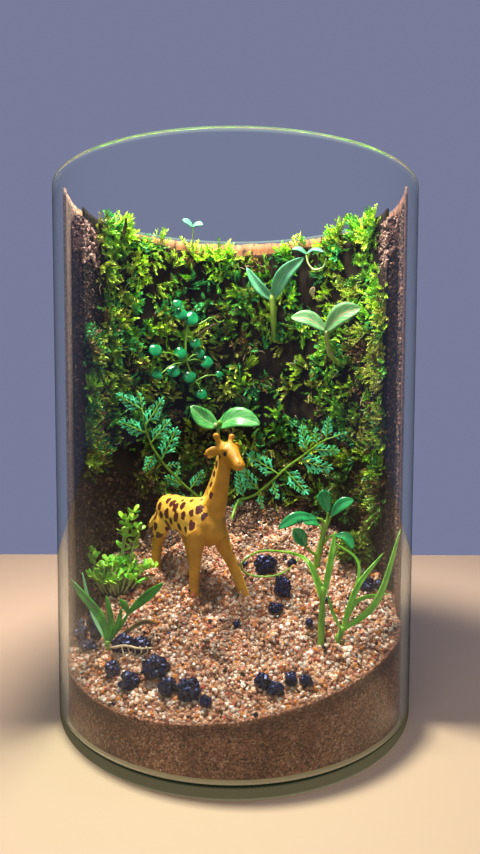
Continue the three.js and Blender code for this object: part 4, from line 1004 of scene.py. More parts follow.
def moss_parts(models, rng, places, outward, tints, lengths):
    """Sprigs of every kind on their places."""
    kinds = rng.integers(0, len(models), len(places))
    parts = []
    for kind, (points, faces, heights) in enumerate(models):
        own = kinds == kind
        turns = turned(outward[own], rng.uniform(0, FULL_TURN, own.sum()))
        shade = 0.3 + 0.85 * np.clip(heights, 0, 1)
        parts.append(copies((points, faces), turns, lengths[own], places[own], tints[own], shade))
    return parts


def mat_place(column, low_edge, high_edge, u, v):
    """Azimuth and height on a mat, between its wavy seams and edges."""
    azimuth = MAT_COLUMNS[column] * (1 - u) + MAT_COLUMNS[column + 1] * u
    z = 0.0
    for _ in range(3):
        low, high = low_edge(azimuth) + MAT_INSET, high_edge(azimuth) - MAT_INSET
        z = low + (high - low) * v
        azimuth = moss_seam(column, z) * (1 - u) + moss_seam(column + 1, z) * u
    return azimuth, z


def tuft(rng, azimuth, z, at_top, at_side):
    """Feet, ways, colours and lengths of the sprigs of one tuft, which fan out from its middle."""
    radius = soil_radius(azimuth) - MAT_CLEARANCE - cushion_depth(azimuth, z) + 0.5
    inward, along_wall = polar(-1, azimuth, 0), polar(1, azimuth + 90, 0)
    lean = rng.normal(0, 0.55) * along_wall + rng.normal(0.1, 0.6) * UP
    lean = lean + (0.9 * UP if at_top else 0) + at_side * 0.9 * along_wall
    tint = moss_tint(rng, azimuth, z)
    length = rng.uniform(3.4, 5.6) * (1.15 if at_top else 1.0)
    feet, ways, tints, lengths = [], [], [], []
    for _ in range(rng.integers(6, 11)):
        off = rng.normal(0, 0.42, 2)
        foot = polar(radius, azimuth, z) + (off[0] * along_wall + off[1] * UP) * 2.4
        feet.append(foot)
        ways.append(lean + off[0] * along_wall + off[1] * UP + inward * rng.uniform(0.25, 1.0))
        tints.append(tint * rng.uniform(0.7, 1.3))
        lengths.append(length * rng.uniform(0.7, 1.15))
    return feet, ways, tints, lengths


# azimuths where the sheet's edge shows over the moss, and where the moss ends on the left
SHOWN_EDGES = [(104, 152), (42, 92), (168, 360)]
RUFF_END = 169


def mat_spots(rng, column, level, edges):
    """Where the tufts of a mat stand: azimuth, height, whether at its top, and which side it leans to."""
    low_edge, high_edge = edges
    width = MAT_COLUMNS[column + 1] - MAT_COLUMNS[column]
    middle = MAT_COLUMNS[column] + width / 2
    area = math.radians(width) * 48 * (high_edge(middle) - low_edge(middle))
    spots = []
    while len(spots) < int(area * TUFTS_PER_SQUARE_MM * (1.0)):
        u, v = rng.random(), rng.random()
        azimuth, z = mat_place(column, *edges, u, v)
        if rng.random() > bare(azimuth, z):
            spots.append((azimuth, z, False, 0))
    # a ruff of tufts along the top edge, and down the two outer sides
    if level == "high":
        for u in np.linspace(0.02, 0.98, int(width * 0.5)):
            azimuth, z = mat_place(column, *edges, u + rng.normal(0, 0.01), rng.uniform(0.95, 0.995))
            shown = any(start < azimuth < stop for start, stop in SHOWN_EDGES) and rng.random() < 0.75
            grown_over = rng.random() > bare(azimuth, z) * 1.1 and rng.random() < 0.8
            if grown_over and not shown and azimuth < RUFF_END:
                spots.append((azimuth, z, True, 0))
    for edge, sign in ((0.0, -1), (1.0, 1)):
        if (column, edge) in ((0, 0.0), (len(MAT_COLUMNS) - 2, 1.0)):
            for v in np.linspace(0.02, 0.98, 16):
                azimuth, z = mat_place(column, *edges, edge, v)
                if rng.random() > bare(azimuth, z) * 1.05:
                    spots.append((azimuth, z, False, sign))
    return spots


def mat_piece(models, column, level, *edges):
    """One mat of the moss wall: its floor, with feathery tufts."""

    def place(u, v, w):
        azimuth, z = mat_place(column, *edges, u, v)
        depth = cushion_depth(azimuth, z)
        return polar(soil_radius(azimuth) - MAT_CLEARANCE - (depth if w > 0.5 else 0.0), azimuth, z)

    floor = dress(slab(30, 40, place), "moss_floor")
    rng = np.random.default_rng(10 * column + (1 if level == "low" else 2))
    feet, ways, tints, lengths = [], [], [], []
    for spot in mat_spots(rng, column, level, edges):
        for store, found in zip((feet, ways, tints, lengths), tuft(rng, *spot)):
            store += found
    sprigs = moss_parts(models, rng, *map(np.array, (feet, ways, tints, lengths)))
    number = column + 1
    solid = f"moss_mat_{level}_{number}"
    settle(f"moss_{level}_{number}", [floor, grown("sprigs", sprigs, "moss")], [solid])


def clump_piece(models):
    """A small cushion of moss on the sand at the right, against the wall."""
    centre = on_sand(44, 8, 3.4)
    half = np.array([5.6, 5.0, 6.0])
    core = ball(centre, half * 0.85, "moss_floor", 4)
    rng = np.random.default_rng(71)
    away = unit(rng.normal(size=(620, 3)))
    away = away[away[:, 2] > -0.35]
    places = centre + away * half * 0.8
    tints = np.array([np.array(MOSS_COLOURS[rng.choice([1, 2, 4, 5])]) * rng.uniform(0.5, 1.0) for _ in away])
    lengths = rng.uniform(2.0, 3.4, len(away))
    sprigs = moss_parts(models, rng, places, away + rng.normal(0, 0.35, away.shape), tints, lengths)
    settle("moss_cushion", [core, grown("sprigs", sprigs, "moss")], ["moss_clump"])


def moss_pieces():
    models = sprig_models()
    for column in range(len(MAT_COLUMNS) - 1):
        mat_piece(models, column, "low", moss_foot, moss_split)
        mat_piece(models, column, "high", moss_split, moss_top)
    clump_piece(models)


# ---------------------------------------------------------------- sand


# where the clean sand ends towards the wall: across and back
EARTH_EDGE = [
    (-55, 14), (-30, 17), (-10, 18), (0, 16), (6, 18), (13, 24),
    (20, 31), (26, 32), (36, 20), (45, 10), (55, 5),
]


def bedded():
    """Places in the sand where a stone lies, so that sand leaves it showing: across, back and radius."""
    return np.array([(x, y, STONE_GROWTH * max(across, back)) for x, y, across, back, _ in STONES])


def from_stones(x, y):
    """How far a place in the sand is from the nearest stone's side."""
    return (np.hypot(BEDDED[:, 0] - x, BEDDED[:, 1] - y) - BEDDED[:, 2]).min()


def clod_spots():
    """Round clods of stuck sand: across, back and radius."""
    rng = np.random.default_rng(77)
    spots = []
    while len(spots) < CLOD_COUNT:
        x, y = rng.uniform(-54, 54), rng.uniform(-54, 34)
        radius = rng.uniform(1.1, 2.9) * (1.15 if y > -24 else 0.85)
        if math.hypot(x, y) < 55 and from_stones(x, y) > 0.7 * radius:
            spots.append((x, y, radius))
    return np.array(spots)


# painted shadow of the toy round its feet and in front of them: across, back and radius
TOY_SHADOW_SPOTS = [
    (-7.4, -15.3, 4.6), (-0.1, -25.8, 5.2), (-4.8, -35.4, 3.4), (-16.0, -20.0, 3.6), (9.0, -9.0, 4.0),
]


def toy_shadow(x, y):
    """How deep the toy's painted shadow lies on the sand, from 0 to 1."""
    wobble = 1.6 * cloud(x, y, 31, 3)
    depths = [radius + wobble - math.hypot(x - across, y - back) for across, back, radius in TOY_SHADOW_SPOTS]
    return ramp(max(depths), 0.0, 1.6)


def sand_lumps(x, y):
    """Clumps and clods of stuck grains, in mm above the smooth bank."""
    clumps = 2.0 * max(cloud(x, y, 9, 4.4) + 0.04, 0) ** 0.6 + 1.3 * max(cloud(x, y, 5, 2.1), 0) ** 0.6
    lumps = 1.1 * cloud(x, y, 0, 10) + clumps - 1.4
    away = from_stones(x, y)
    lumps = lumps * ramp(away, -0.6, 2.2) - 0.5 * (1 - ramp(away, 0.0, 1.6))
    apart = (CLODS[:, 0] - x) ** 2 + (CLODS[:, 1] - y) ** 2
    caps = np.sqrt(np.maximum(CLODS[:, 2] ** 2 - apart, 0)) - 0.15 * CLODS[:, 2]
    lumps += max(caps.max(), 0.0)
    for foot, height in TOY_MOUNDS:
        spot = toy_point(*foot, 0)
        lumps += height * math.exp(-((spot[0] - x) ** 2 + (spot[1] - 1.2 - y) ** 2) / 14)
    return lumps * min(1.0, (SAND_DISC - math.hypot(x, y)) / 3)


def earthy(x, y):
    """How much soil is mixed into the sand, from 0 to 1: the strip at the foot of the wall."""
    edge = table_value(EARTH_EDGE, x)
    return ramp(y + 3 * cloud(x, y, 12, 5), edge - 1, edge + 4)


SAND_DISC = 57.0
SAND_RINGS = 60
SAND_STEPS = 240
WALL_RINGS = 40
# heights of the flat disc's top and foot before it is moved to the bank
DISC_TOP = 50.0
DISC_FOOT = 4.0


def sand_piece():
    """The bank: a disc whose top is lifted to the lumps and whose side follows the jar, sheet and soil."""
    profile = [(SAND_DISC * i / SAND_RINGS, DISC_TOP) for i in range(SAND_RINGS + 1)]
    wall = DISC_TOP - DISC_FOOT
    profile += [(SAND_DISC, DISC_TOP - wall * i / WALL_RINGS) for i in range(1, WALL_RINGS + 1)]
    profile += [(SAND_DISC - 2, SAND_BOTTOM), (0.0, SAND_BOTTOM)]
    obj = spun(profile, SAND_STEPS)
    darkening = [0.0] * len(obj.data.vertices)
    foot = SAND_BOTTOM + 1.5
    for vertex in obj.data.vertices:
        x, y, z = vertex.co / MM
        radius = math.hypot(x, y)
        if radius < 0.01:
            if z > 20:
                vertex.co.z = (sand_height(0, 0) + sand_lumps(0, 0)) * MM
            continue
        azimuth = math.degrees(math.atan2(y, x))
        across, back, _ = polar(radius / SAND_DISC * sand_reach(azimuth), azimuth, 0)
        at_wall = radius > SAND_DISC - 0.1
        top = sand_height(across, back) + (0.3 * cloud(azimuth, 0, 0, 2.5) if at_wall else 0)
        if z > DISC_TOP - 0.1:
            top += 0 if at_wall else sand_lumps(across, back)
            z = top
        elif at_wall:
            z = foot + (top - foot) * (z - DISC_FOOT) / wall
        vertex.co = Vector((across, back, z)) * MM
        # darker in a band a little under the top where the sand meets the glass, and where soil is mixed into
        # the sand
        if at_wall:
            darkening[vertex.index] = ramp(top - z, 0.4, 1.4) * (1 - ramp(top - z, 2.6, 5.5))
            darkening[vertex.index] *= 0.55 + 0.45 * cloud(azimuth, 4, 0, 25)
        else:
            darkening[vertex.index] = 0.7 * earthy(across, back)
    obj.data.attributes.new("darkening", "FLOAT", "POINT").data.foreach_set("value", darkening)
    settle("sand_bed", [dress(obj, "packed_sand")], ["sand_bank"])


GRAIN_PALETTE = [
    ("dcaa88", 0.22), ("e8c6aa", 0.2), ("cb9a74", 0.14), ("f3dfcf", 0.12), ("fff4ea", 0.05),
    ("d8883c", 0.1), ("c77c5c", 0.06), ("a8735a", 0.06), ("bb5c46", 0.03), ("1c1618", 0.02),
]
EARTH_PALETTE = [("2c1c13", 0.3), ("4a3020", 0.3), ("7a5238", 0.18), ("a67c56", 0.12), ("d0a880", 0.1)]


def palette_draw(rng, palette, count):
    """Colours drawn from codes with their shares."""
    codes = np.array([colour(code) for code, _ in palette])
    shares = np.array([share for _, share in palette])
    return codes[rng.choice(len(codes), count, p=shares / shares.sum())]


def grain_pieces():
    """Loose grains over the bank, in two pieces: front and back."""
    rng = np.random.default_rng(12)
    shapes = crumb_shapes(4, 12, 0.2)
    for name, sign in (("sand_grains_front", -1), ("sand_grains_back", 1)):
        places, earth, levels = [], [], []
        while len(places) < GRAIN_COUNT // 2:
            x, y = rng.uniform(-SAND_DISC, SAND_DISC), sign * rng.uniform(0, SAND_DISC)
            if math.hypot(x, y) > sand_reach(math.degrees(math.atan2(y, x))) - 0.9:
                continue
            lump = sand_lumps(x, y)
            # darker patches at random further back, and the toy's painted shadow round its feet and in front
            # of them
            darkening = 0.5 * ramp(cloud(x, y, 21, 7), 0.02, 0.34) * ramp(y, -44, -30)
            darkening = max(darkening, 0.62 * toy_shadow(x, y))
            places.append(on_sand(x, y, lump + rng.uniform(-0.15, 0.4)))
            earth.append(rng.random() < earthy(x, y) * 0.93)
            # painted shade: grains on the lumps lighter and in the hollows between them darker, and all of
            # them darker where the sand is darkened
            levels.append((0.74 + 0.66 * ramp(lump, -0.9, 1.6)) * (1 - darkening))
        places, earth = np.array(places), np.array(earth)
        count = len(places)
        tints = palette_draw(rng, GRAIN_PALETTE, count)
        tints[earth] = palette_draw(rng, EARTH_PALETTE, earth.sum())
        tints = tints * rng.uniform(0.8, 1.15, (count, 1)) * np.array(levels)[:, None]
        sizes = rng.uniform(*GRAIN_HALF, (count, 1)) * rng.uniform(0.75, 1.2, (count, 3))
        sizes[earth] *= 0.75
        (run,) = scattered(rng, shapes, places, sizes, tints, [np.full(count, True)])
        settle(name, [grown(name, run, "grains")])


# ---------------------------------------------------------------- lava stones

# across, back, and half widths across, back and up
STONES = [
    (-52.4, -11.2, 1.7, 1.7, 1.7), (-49.4, -5, 1.7, 1.7, 2.2), (-47, -11.9, 2.4, 2.4, 2.8),
    (-50.3, -16.2, 2.3, 2.3, 2.4), (-44.4, -18.1, 2.3, 2.5, 2.8), (-46.8, -21.6, 2.9, 1.6, 1.4),
    (-34.6, -26, 3.4, 3, 2.7), (-28.4, -28.3, 2.8, 2.6, 2.6), (-35.7, -34.4, 2.2, 2.1, 2.1),
    (-29.9, -40, 2.7, 2.6, 2.5), (-22.8, -38.4, 3.9, 3.6, 3.7), (-18.4, -45.2, 2.6, 2.4, 2.6),
    (-12.4, -47.6, 3, 2.7, 3), (-7.6, -51.3, 1.5, 1.5, 1.5), (8, -47.4, 2.2, 2.1, 2.1),
    (11.4, -50, 2.1, 1.6, 1.8), (15.6, -47.1, 1.8, 1.8, 1.8), (19.7, -47.6, 1.8, 1.8, 1.8),
    (0.8, -25.8, 1.3, 1.2, 1.2), (13, -20.2, 2.2, 1.8, 1.6), (15.9, -12.4, 2.9, 2.7, 4.1),
    (10.6, -0.2, 4, 3.2, 3.5), (20.5, 2, 1.7, 1.7, 1.7), (23.2, -26.3, 1.3, 1.3, 1.3),
    (45.6, -7.3, 2.3, 2.1, 2.3), (49.8, -6.4, 1.6, 1.5, 1.7),
]
STONE_SHOWING = 0.4
STONE_RISE = 0.6
STONE_GROWTH = 1.14


def stone_shape(place, sizes, seed, detail):
    """A lump of bubbly lava: a ball with swellings, beads and pits."""
    obj = ball((0, 0, 0), (1, 1, 1), "lava", detail)
    shift = Vector((seed * 3.7, seed * 1.9, seed * 5.3))
    largest = max(sizes)
    for vertex in obj.data.vertices:
        way = vertex.co.normalized()
        spot = way * largest
        swell = 0.24 * noise.noise(way * 1.3 + shift) + 0.16 * noise.noise(way * 2.6 - shift)
        near = noise.voronoi(spot / 1.9 + shift)[0][0]
        bead = math.sqrt(max(1 - (near / 0.7) ** 2, 0))
        fine = noise.voronoi(spot / 0.8 - shift)[0][0]
        size = 0.76 + swell + min(0.8 / largest, 0.3) * bead - 0.16 / largest * fine
        vertex.co = Vector([way[i] * sizes[i] * size + place[i] for i in range(3)]) * MM
    return obj


def stone_pieces():
    for number, (x, y, across, back, up) in enumerate(STONES, start=1):
        centre = on_sand(x, y, STONE_SHOWING * up + STONE_RISE)
        detail = 5 if max(across, up) > 2 else 4
        sizes = [STONE_GROWTH * half for half in (across, back, up)]
        obj = stone_shape(centre, sizes, number, detail)
        settle(f"lava_{number:02d}", [obj], [f"lava_stone_{number:02d}"])


# small loose grains of lava: place across and back, and half size
LAVA_GRAINS = [
    (-45.6, -7.6, 1.0), (-38.6, -15.6, 1.1), (-24.4, -35.4, 1.0), (-14.6, -12.6, 0.9),
    (-4.6, -22.6, 0.8), (-20.4, -24.6, 0.8), (3.6, 1.6, 1.1), (30.4, -16.4, 1.2),
    (-36.6, -1.6, 1.3), (18.4, 7.4, 1.2), (-33.4, -44.0, 0.8), (27.6, -22.0, 0.9),
]


def lava_grain_piece():
    lumps = []
    for number, (x, y, half) in enumerate(LAVA_GRAINS):
        place = on_sand(x, y, sand_lumps(x, y) + 0.3)
        lumps.append(stone_shape(place, (half, half * 0.9, half * 0.85), 40 + number, 3))
    settle("lava_grains", lumps)


# ---------------------------------------------------------------- toy giraffe

TOY_PLACE = np.array([-17.3, 0.5, 38.5])
TOY_HEADING = math.radians(-52)
TOY_FORWARD = np.array([math.cos(TOY_HEADING), math.sin(TOY_HEADING), 0.0])
TOY_LEFT = np.array([-math.sin(TOY_HEADING), math.cos(TOY_HEADING), 0.0])
PATCH_SPACING = 3.1
PATCH_RADII = (0.95, 1.6)


def toy_point(forward, left, up):
    return TOY_PLACE + TOY_FORWARD * forward + TOY_LEFT * left + UP * up


def limb(stations, sizes, hint=UP, sides=16, count=14):
    """A round-ended body part: the rings of a sphere moved to stations with half widths across and along."""
    line = curve_points([toy_point(*s) for s in stations], count)
    halves = np.array([s if isinstance(s, (list, tuple)) else (s, s) for s in sizes], float)
    shares = np.linspace(0, 1, len(halves))
    wide = np.interp(np.linspace(0, 1, count), shares, halves[:, 0])
    tall = np.interp(np.linspace(0, 1, count), shares, halves[:, 1])
    ahead = tangents(line)
    across = unit(np.cross(ahead, hint))
    above = np.cross(across, ahead)
    clear_selection()
    bpy.ops.mesh.primitive_uv_sphere_add(segments=sides, ring_count=count + 1, radius=1)
    obj = bpy.context.object
    for vertex in obj.data.vertices:
        ring = round(math.acos(max(-1.0, min(1.0, vertex.co.z))) / math.pi * (count + 1)) - 1
        turn = math.atan2(vertex.co.y, vertex.co.x)
        i = min(max(ring, 0), count - 1)
        if ring in (-1, count):
            place = line[i] + ahead[i] * 0.45 * wide[i] * (1 if ring == count else -1)
        else:
            place = line[i] + across[i] * wide[i] * math.cos(turn) + above[i] * tall[i] * math.sin(turn)
        vertex.co = Vector(place) * MM
    edit(obj, face_outward)
    return obj


TOY_LEGS = [
    [[10.2, -2.2, 27], [11.6, -3.4, 21], [12.2, -4.2, 14.6], [12.2, -4.6, 8], [11.8, -4.8, -2.2]],
    [[12.0, 3.4, 26], [13.4, 4.4, 21], [15.6, 5.8, 15], [19, 7.4, 8.4], [23.4, 8.8, -1.6]],
    [[-9.6, -2.4, 26], [-10.6, -3.4, 21], [-12.4, -4.0, 15], [-13.0, -4.6, 9], [-12.0, -5.2, -1.0]],
    [[-7.6, 2.4, 26], [-7.2, 3.6, 21], [-5.8, 4.8, 15], [-4.6, 5.4, 9], [-3.8, 5.8, 0.6]],
]
HEAD_MIDDLE = 3.4
NECK_SPOTS = np.array(
    [
        (9.4, -1.4, 28.6), (11.4, -0.8, 31.4), (13.0, 0.0, 34.4),
        (14.2, 0.6, 37.6), (15.3, 1.0, 41), (16.2, 1.4, 44.4),
    ]
)
# sand heaped round the feet: forward and left, and height
TOY_MOUNDS = [((10.6, -4.4), 3.0), ((22.6, 8.6), 0.8), ((-11.4, -6.0), 2.0), ((-2.6, 5.8), 1.6)]


def press(obj, centre, radius, depth, toward):
    """Moves the surface near a point by a soft dab, as a thumb would."""
    middle = Vector(centre) * MM
    for vertex in obj.data.vertices:
        away = (vertex.co - middle).length / (radius * MM)
        if away < 1:
            vertex.co += Vector(toward) * depth * MM * (1 - away * away) ** 2


def giraffe_piece():
    forward = TOY_FORWARD
    trunk = limb(
        [
            [-15, 0, 25.2],
            [-13, 0, 25.6],
            [-9, 0, 25.2],
            [-2, 0, 24.8],
            [5, 0, 24.8],
            [11, 0.8, 24.4],
            [15.2, 1.6, 24.6],
            [17.2, 2, 25.4],
        ],
        [[2.4, 2.8], [4.8, 5.2], [5.8, 6.2], [5.6, 6.4], [5.9, 7.4], [6.2, 8.8], [4.8, 7.2], [2.6, 4.2]],
    )
    neck = limb(
        [[11.5, 1.4, 25], [14.6, 2.2, 31], [16.9, 2.6, 37], [18.3, 2.9, 43], [19, 3.2, 47.6]],
        [[5.2, 5.4], [3.9, 4.2], [2.7, 3.0], [2.2, 2.4], [2.2, 2.3]],
        forward,
    )
    mane = limb(
        [[9.6, 0.9, 31], [12.9, 1.7, 37], [15.2, 2.3, 42.4], [16.2, 2.8, 47], [16.8, 3.1, 49.8]],
        [[0.9, 1.2], [0.9, 1.4], [0.9, 1.4], [0.9, 1.2], [0.7, 0.8]],
        forward,
    )
    middle = HEAD_MIDDLE
    skull = limb(
        [
            [17.6, middle, 49.2],
            [18.6, middle, 49.6],
            [20.6, middle, 49.2],
            [23, middle - 0.2, 47.7],
            [25.2, middle - 0.5, 46.2],
            [27, middle - 0.7, 45.2],
        ],
        [[1.6, 1.6], [2.9, 2.5], [3.3, 2.9], [2.5, 2.5], [2.1, 2.0], [2.0, 1.7]],
    )
    muzzle = ball(toy_point(26.8, middle - 0.7, 44.9), (2.1, 2.1, 1.75), "toy", 3)
    jaw = limb(
        [[20, middle, 46.6], [23, middle - 0.3, 45.2], [26, middle - 0.6, 43.9]],
        [[2.0, 1.5], [1.8, 1.2], [1.5, 0.8]],
    )
    brows = [ball(toy_point(21.4, middle + side * 2.3, 49.8), (1.2, 1.2, 0.8), "toy", 3) for side in (-1, 1)]
    legs = [
        limb(path, [[2.4, 3.4], [3.0, 4.1], [2.25, 2.7], [1.75, 1.9], [1.8, 1.85]], forward, 14, 20)
        for path in TOY_LEGS
    ]
    knees = [ball(toy_point(*path[3]), (1.95, 1.95, 2.3), "toy", 3) for path in TOY_LEGS]
    horns = []
    for side, height in ((-1, 54.0), (1, 53.4)):
        foot = [18.4, middle + side * 1.7, 50.4]
        tip = [17.8, middle + side * 3.2, height]
        halfway = [(a + b) / 2 for a, b in zip(foot, tip)]
        horns.append(limb([foot, halfway, tip], [1.3, 0.95, 1.0], forward, 12, 8))
        horns.append(ball(toy_point(*tip), (1.2, 1.2, 1.15), "toy", 3))
    ears = []
    for side in (-1, 1):
        stations = [
            [18.6, middle + side * 2.4, 49.6],
            [18.0, middle + side * 4.2, 49.4 + 0.3 * side],
            [17.4, middle + side * 6.0, 49.0 + 0.8 * side],
            [16.9, middle + side * 7.4, 48.6 + 1.2 * side],
        ]
        ears.append(limb(stations, [[0.7, 1.1], [0.85, 1.9], [0.8, 1.8], [0.35, 0.6]], UP, 12, 10))
    tail = limb(
        [[-14, 0.4, 27.4], [-16.8, -1.4, 23.6], [-18.8, -2.9, 20], [-19.8, -3.7, 18.2]],
        [1.3, 1.05, 1.15, 1.1],
        forward,
        12,
        10,
    )
    pieces = [trunk, neck, mane, skull, muzzle, jaw, *brows, *legs, *knees, *horns, *ears, tail]
    pick(*pieces)
    bpy.ops.object.join()
    body = bpy.context.view_layer.objects.active
    apply_modifier(body, "REMESH", mode="VOXEL", voxel_size=0.42 * MM)
    apply_modifier(body, "SMOOTH", factor=0.6, iterations=5)
    shape_face(body)
    edit(body, face_outward)
    dress(body, "toy")
    paint_zone(body)
    eyes = [
        ball(toy_point(21.9, HEAD_MIDDLE + side * 2.5, 48.4), (0.8, 0.8, 0.8), "toy_eye", 3)
        for side in (-1, 1)
    ]
    settle("giraffe", [body, *eyes], ["toy_giraffe"])


def shape_face(body):
    """Sockets round the eyes, nostrils, hollow ears and the line of the mouth."""
    for side in (-1, 1):
        outward = -side * TOY_LEFT
        press(body, toy_point(21.9, HEAD_MIDDLE + side * 2.7, 48.3), 1.3, 0.5, outward)
        press(body, toy_point(28.4, HEAD_MIDDLE - 0.7 + side * 1.0, 45.8), 0.6, 0.45, -TOY_FORWARD)
        press(body, toy_point(18.2, HEAD_MIDDLE + side * 5.4, 49.1 + 0.7 * side), 1.3, 0.3, -TOY_FORWARD)
    for share in np.linspace(-1, 1, 11):
        lip = toy_point(28.4 - 2.8 * abs(share) ** 1.6, HEAD_MIDDLE - 0.7 + share * 2.0, 44.3)
        press(body, lip, 0.6, 0.4, -TOY_FORWARD * (1 - abs(share)) - TOY_LEFT * share)


# up from the sand, and how far ahead the patches and the painted light on the ochre reach there
MARK_LIMITS = [
    (12, -40), (16, -9), (18.5, 4), (21, 11), (24, 14.6), (28, 15.5), (31, 14.2), (36, 16), (48, 18.2),
]
# up from the sand, and how far left the middle of the outer front leg is there
LEG_MIDDLES = [(0, 8.4), (9, 7.4), (15, 5.8), (22, 4.4)]


def patched_and_lit_part(ahead, left, up):
    """Whether the dark patches may lie here, where the ochre is also painted lighter as painted light: back,
    flanks, rump, haunches and the mane side.
    """
    ragged = 1.6 * cloud(ahead, left, up, 1.8)
    limit = table_value(MARK_LIMITS, up)
    on_side = ahead + ragged < limit and up < 47.5
    on_outer_leg = ahead > 11 and left > table_value(LEG_MIDDLES, up) + 0.7 and up < 27
    return on_side or on_outer_leg


def paint_zone(body):
    """Marks the patched parts, whose ochre is also painted lighter as painted light, and how deep each point
    lies in a patch.
    """
    rng = np.random.default_rng(8)
    count = len(body.data.vertices)
    points = np.empty(count * 3)
    body.data.vertices.foreach_get("co", points)
    here = points.reshape(-1, 3) / MM - TOY_PLACE
    toy_axes = np.stack([here @ TOY_FORWARD, here @ TOY_LEFT, here[:, 2]], axis=1)
    patched_and_lit = np.array([patched_and_lit_part(*p) for p in toy_axes], float)
    centres = [spot[0] * TOY_FORWARD + spot[1] * TOY_LEFT + spot[2] * UP for spot in NECK_SPOTS]
    for index in rng.permutation(np.flatnonzero(patched_and_lit)):
        spot = here[index]
        if all(np.linalg.norm((spot - c) / [1, 1, 1.3]) > PATCH_SPACING for c in centres):
            centres.append(spot)
    depth = np.full(count, -1.0)
    for centre in centres:
        radius = rng.uniform(*PATCH_RADII) * (0.7 if centre[2] > 30 or centre[2] < 14 else 1.0)
        away = np.linalg.norm((here - centre) / [1, 1, 1.2], axis=1)
        depth = np.maximum(depth, 1 - away / radius)
    depth[(patched_and_lit < 0.5) & (here[:, 2] < 29)] = -1
    for name, values in (("patched_and_lit", patched_and_lit), ("patch", depth)):
        body.data.attributes.new(name, "FLOAT", "POINT").data.foreach_set("value", values)


# ---------------------------------------------------------------- seedlings on the wall


def seed_leaf(joint, point, half, widest, lift, material, face=(0, -1, 0), **form):
    middle = (np.array(joint, float) + np.array(point)) / 2 + np.array(lift)
    return leaf([joint, middle, point], half, widest, face, material, **form)


def seedling_pieces():
    tiny = [-17.5, 37, 172.6]
    parts = [
        stems([([[-18.2, 45.2, 163], [-17.8, 41, 165.6], tiny], [0.35, 0.3, 0.28])], "pale_stem"),
        seed_leaf(
            tiny, [-21.6, 36, 175.2], 1.25, 0.6, [0, 0, 0.3], "seedling_leaf", (0.2, -1, 0.6), tip=0.35
        ),
        seed_leaf(tiny, [-13.4, 36.4, 173.2], 1.3, 0.6, [0, 0, 0.6], "seedling_leaf", (0, -1, 0.8), tip=0.35),
    ]
    settle("tiny_seedling", parts, ["seedling_tiny"])

    joint = [15, 39.4, 146]
    foot = [[16.4, 46, 127], [15.9, 41.8, 131], [15.4, 39.8, 138], joint]
    parts = [
        stems([(foot, [0.9, 1.0, 1.35, 1.5])], "olive_stem", 14, 2),
        seed_leaf([15, 39.4, 144], [4.2, 39, 157], 2.1, 0.42, [-0.6, -0.6, -0.9], "long_leaf", fold=0.45),
        seed_leaf([15, 39.4, 144], [27.2, 33.4, 160], 3.1, 0.45, [-1.8, -0.4, 1.4], "long_leaf", fold=0.35),
    ]
    settle("pointed_seedling", parts, ["seedling_pointed"])

    joint = [28, 33.2, 161.2]
    loop = [
        [36.5, 33.8, 157.4], [35.6, 30.4, 158.6], [34.4, 29.2, 155.4], [31, 30.4, 154.6], [28.8, 32.2, 157.4],
    ]
    parts = [
        stems([([*loop, joint], [0.3, 0.34, 0.36, 0.36, 0.34, 0.32])], "pale_stem", 22),
        seed_leaf(joint, [22.6, 34.6, 163.4], 1.4, 0.6, [0, 0, 0.8], "seedling_leaf", (0, -1, 1), tip=0.3),
        seed_leaf(joint, [34.2, 28.4, 160.8], 1.5, 0.6, [0, 0, 1.2], "seedling_leaf", (0.2, -1, 1), tip=0.3),
    ]
    settle("looped_seedling", parts, ["seedling_looped"])

    joint = [33.6, 14.4, 129.4]
    foot = [[42.6, 26.4, 116.8], [37, 21.4, 120], [34.4, 16.2, 124.4], joint]
    parts = [
        stems([(foot, [0.9, 0.95, 0.9, 0.85])], "pale_stem", 14, 2),
        seed_leaf(joint, [20.8, 17.4, 134.4], 3.1, 0.5, [0, 0, 1.8], "pink_leaf", (-0.1, -1, 0.5), tip=0.1),
        seed_leaf(
            joint, [45.2, 7.6, 136.6], 3.8, 0.52, [-0.8, 0, 1.8], "pink_leaf", (-0.3, -1, 0.3), tip=0.12
        ),
    ]
    settle("veined_seedling", parts, ["seedling_veined"])

    joint = [-7.4, 36, 92.6]
    foot = [[-7.2, 48, 86], [-7.2, 42, 88.4], joint]
    parts = [
        stems([(foot, [0.7, 0.65, 0.6])], "pale_stem"),
        seed_leaf(
            joint, [-18.2, 33.6, 101.0], 3.9, 0.46, [-0.6, 0, -0.8], "round_leaf", (0.2, -1, 0.4), tip=0.12
        ),
        seed_leaf(joint, [9.8, 32.6, 93.8], 4.4, 0.52, [-0.4, 0, 3.0], "round_leaf", (0, -1, 0.6), tip=0.15),
        ball((-6.6, 35.2, 94.2), (1.1, 1.0, 1.2), "green_stem"),
        ball((-8.2, 35.0, 93.4), (0.8, 0.8, 0.9), "pale_stem"),
    ]
    settle("round_seedling", parts, ["seedling_round"])

    foot = [[35.4, 34.6, 143], [31.6, 31, 143.6], [30.4, 29.6, 144.6]]
    parts = [
        stems([(foot, [0.35, 0.32, 0.3])], "root"),
        seed_leaf([30.8, 30, 144], [30.8, 28.6, 147.6], 1.1, 0.6, [-0.7, -0.2, 0], "root", tip=0.3),
    ]
    settle("white_sprout", parts, ["sprout_white"])


# ---------------------------------------------------------------- creeping coin-leaf plant

CREEPER_RADIUS = 41.4
CREEPER_RUNNER = [[-19.8, 133], [-20.4, 129], [-20.2, 119], [-16.6, 111]]
TENDRIL = [[-19.8, 133], [-14.4, 134.6], [-10.2, 137.4], [-7.2, 135.2], [-4.8, 136.2]]
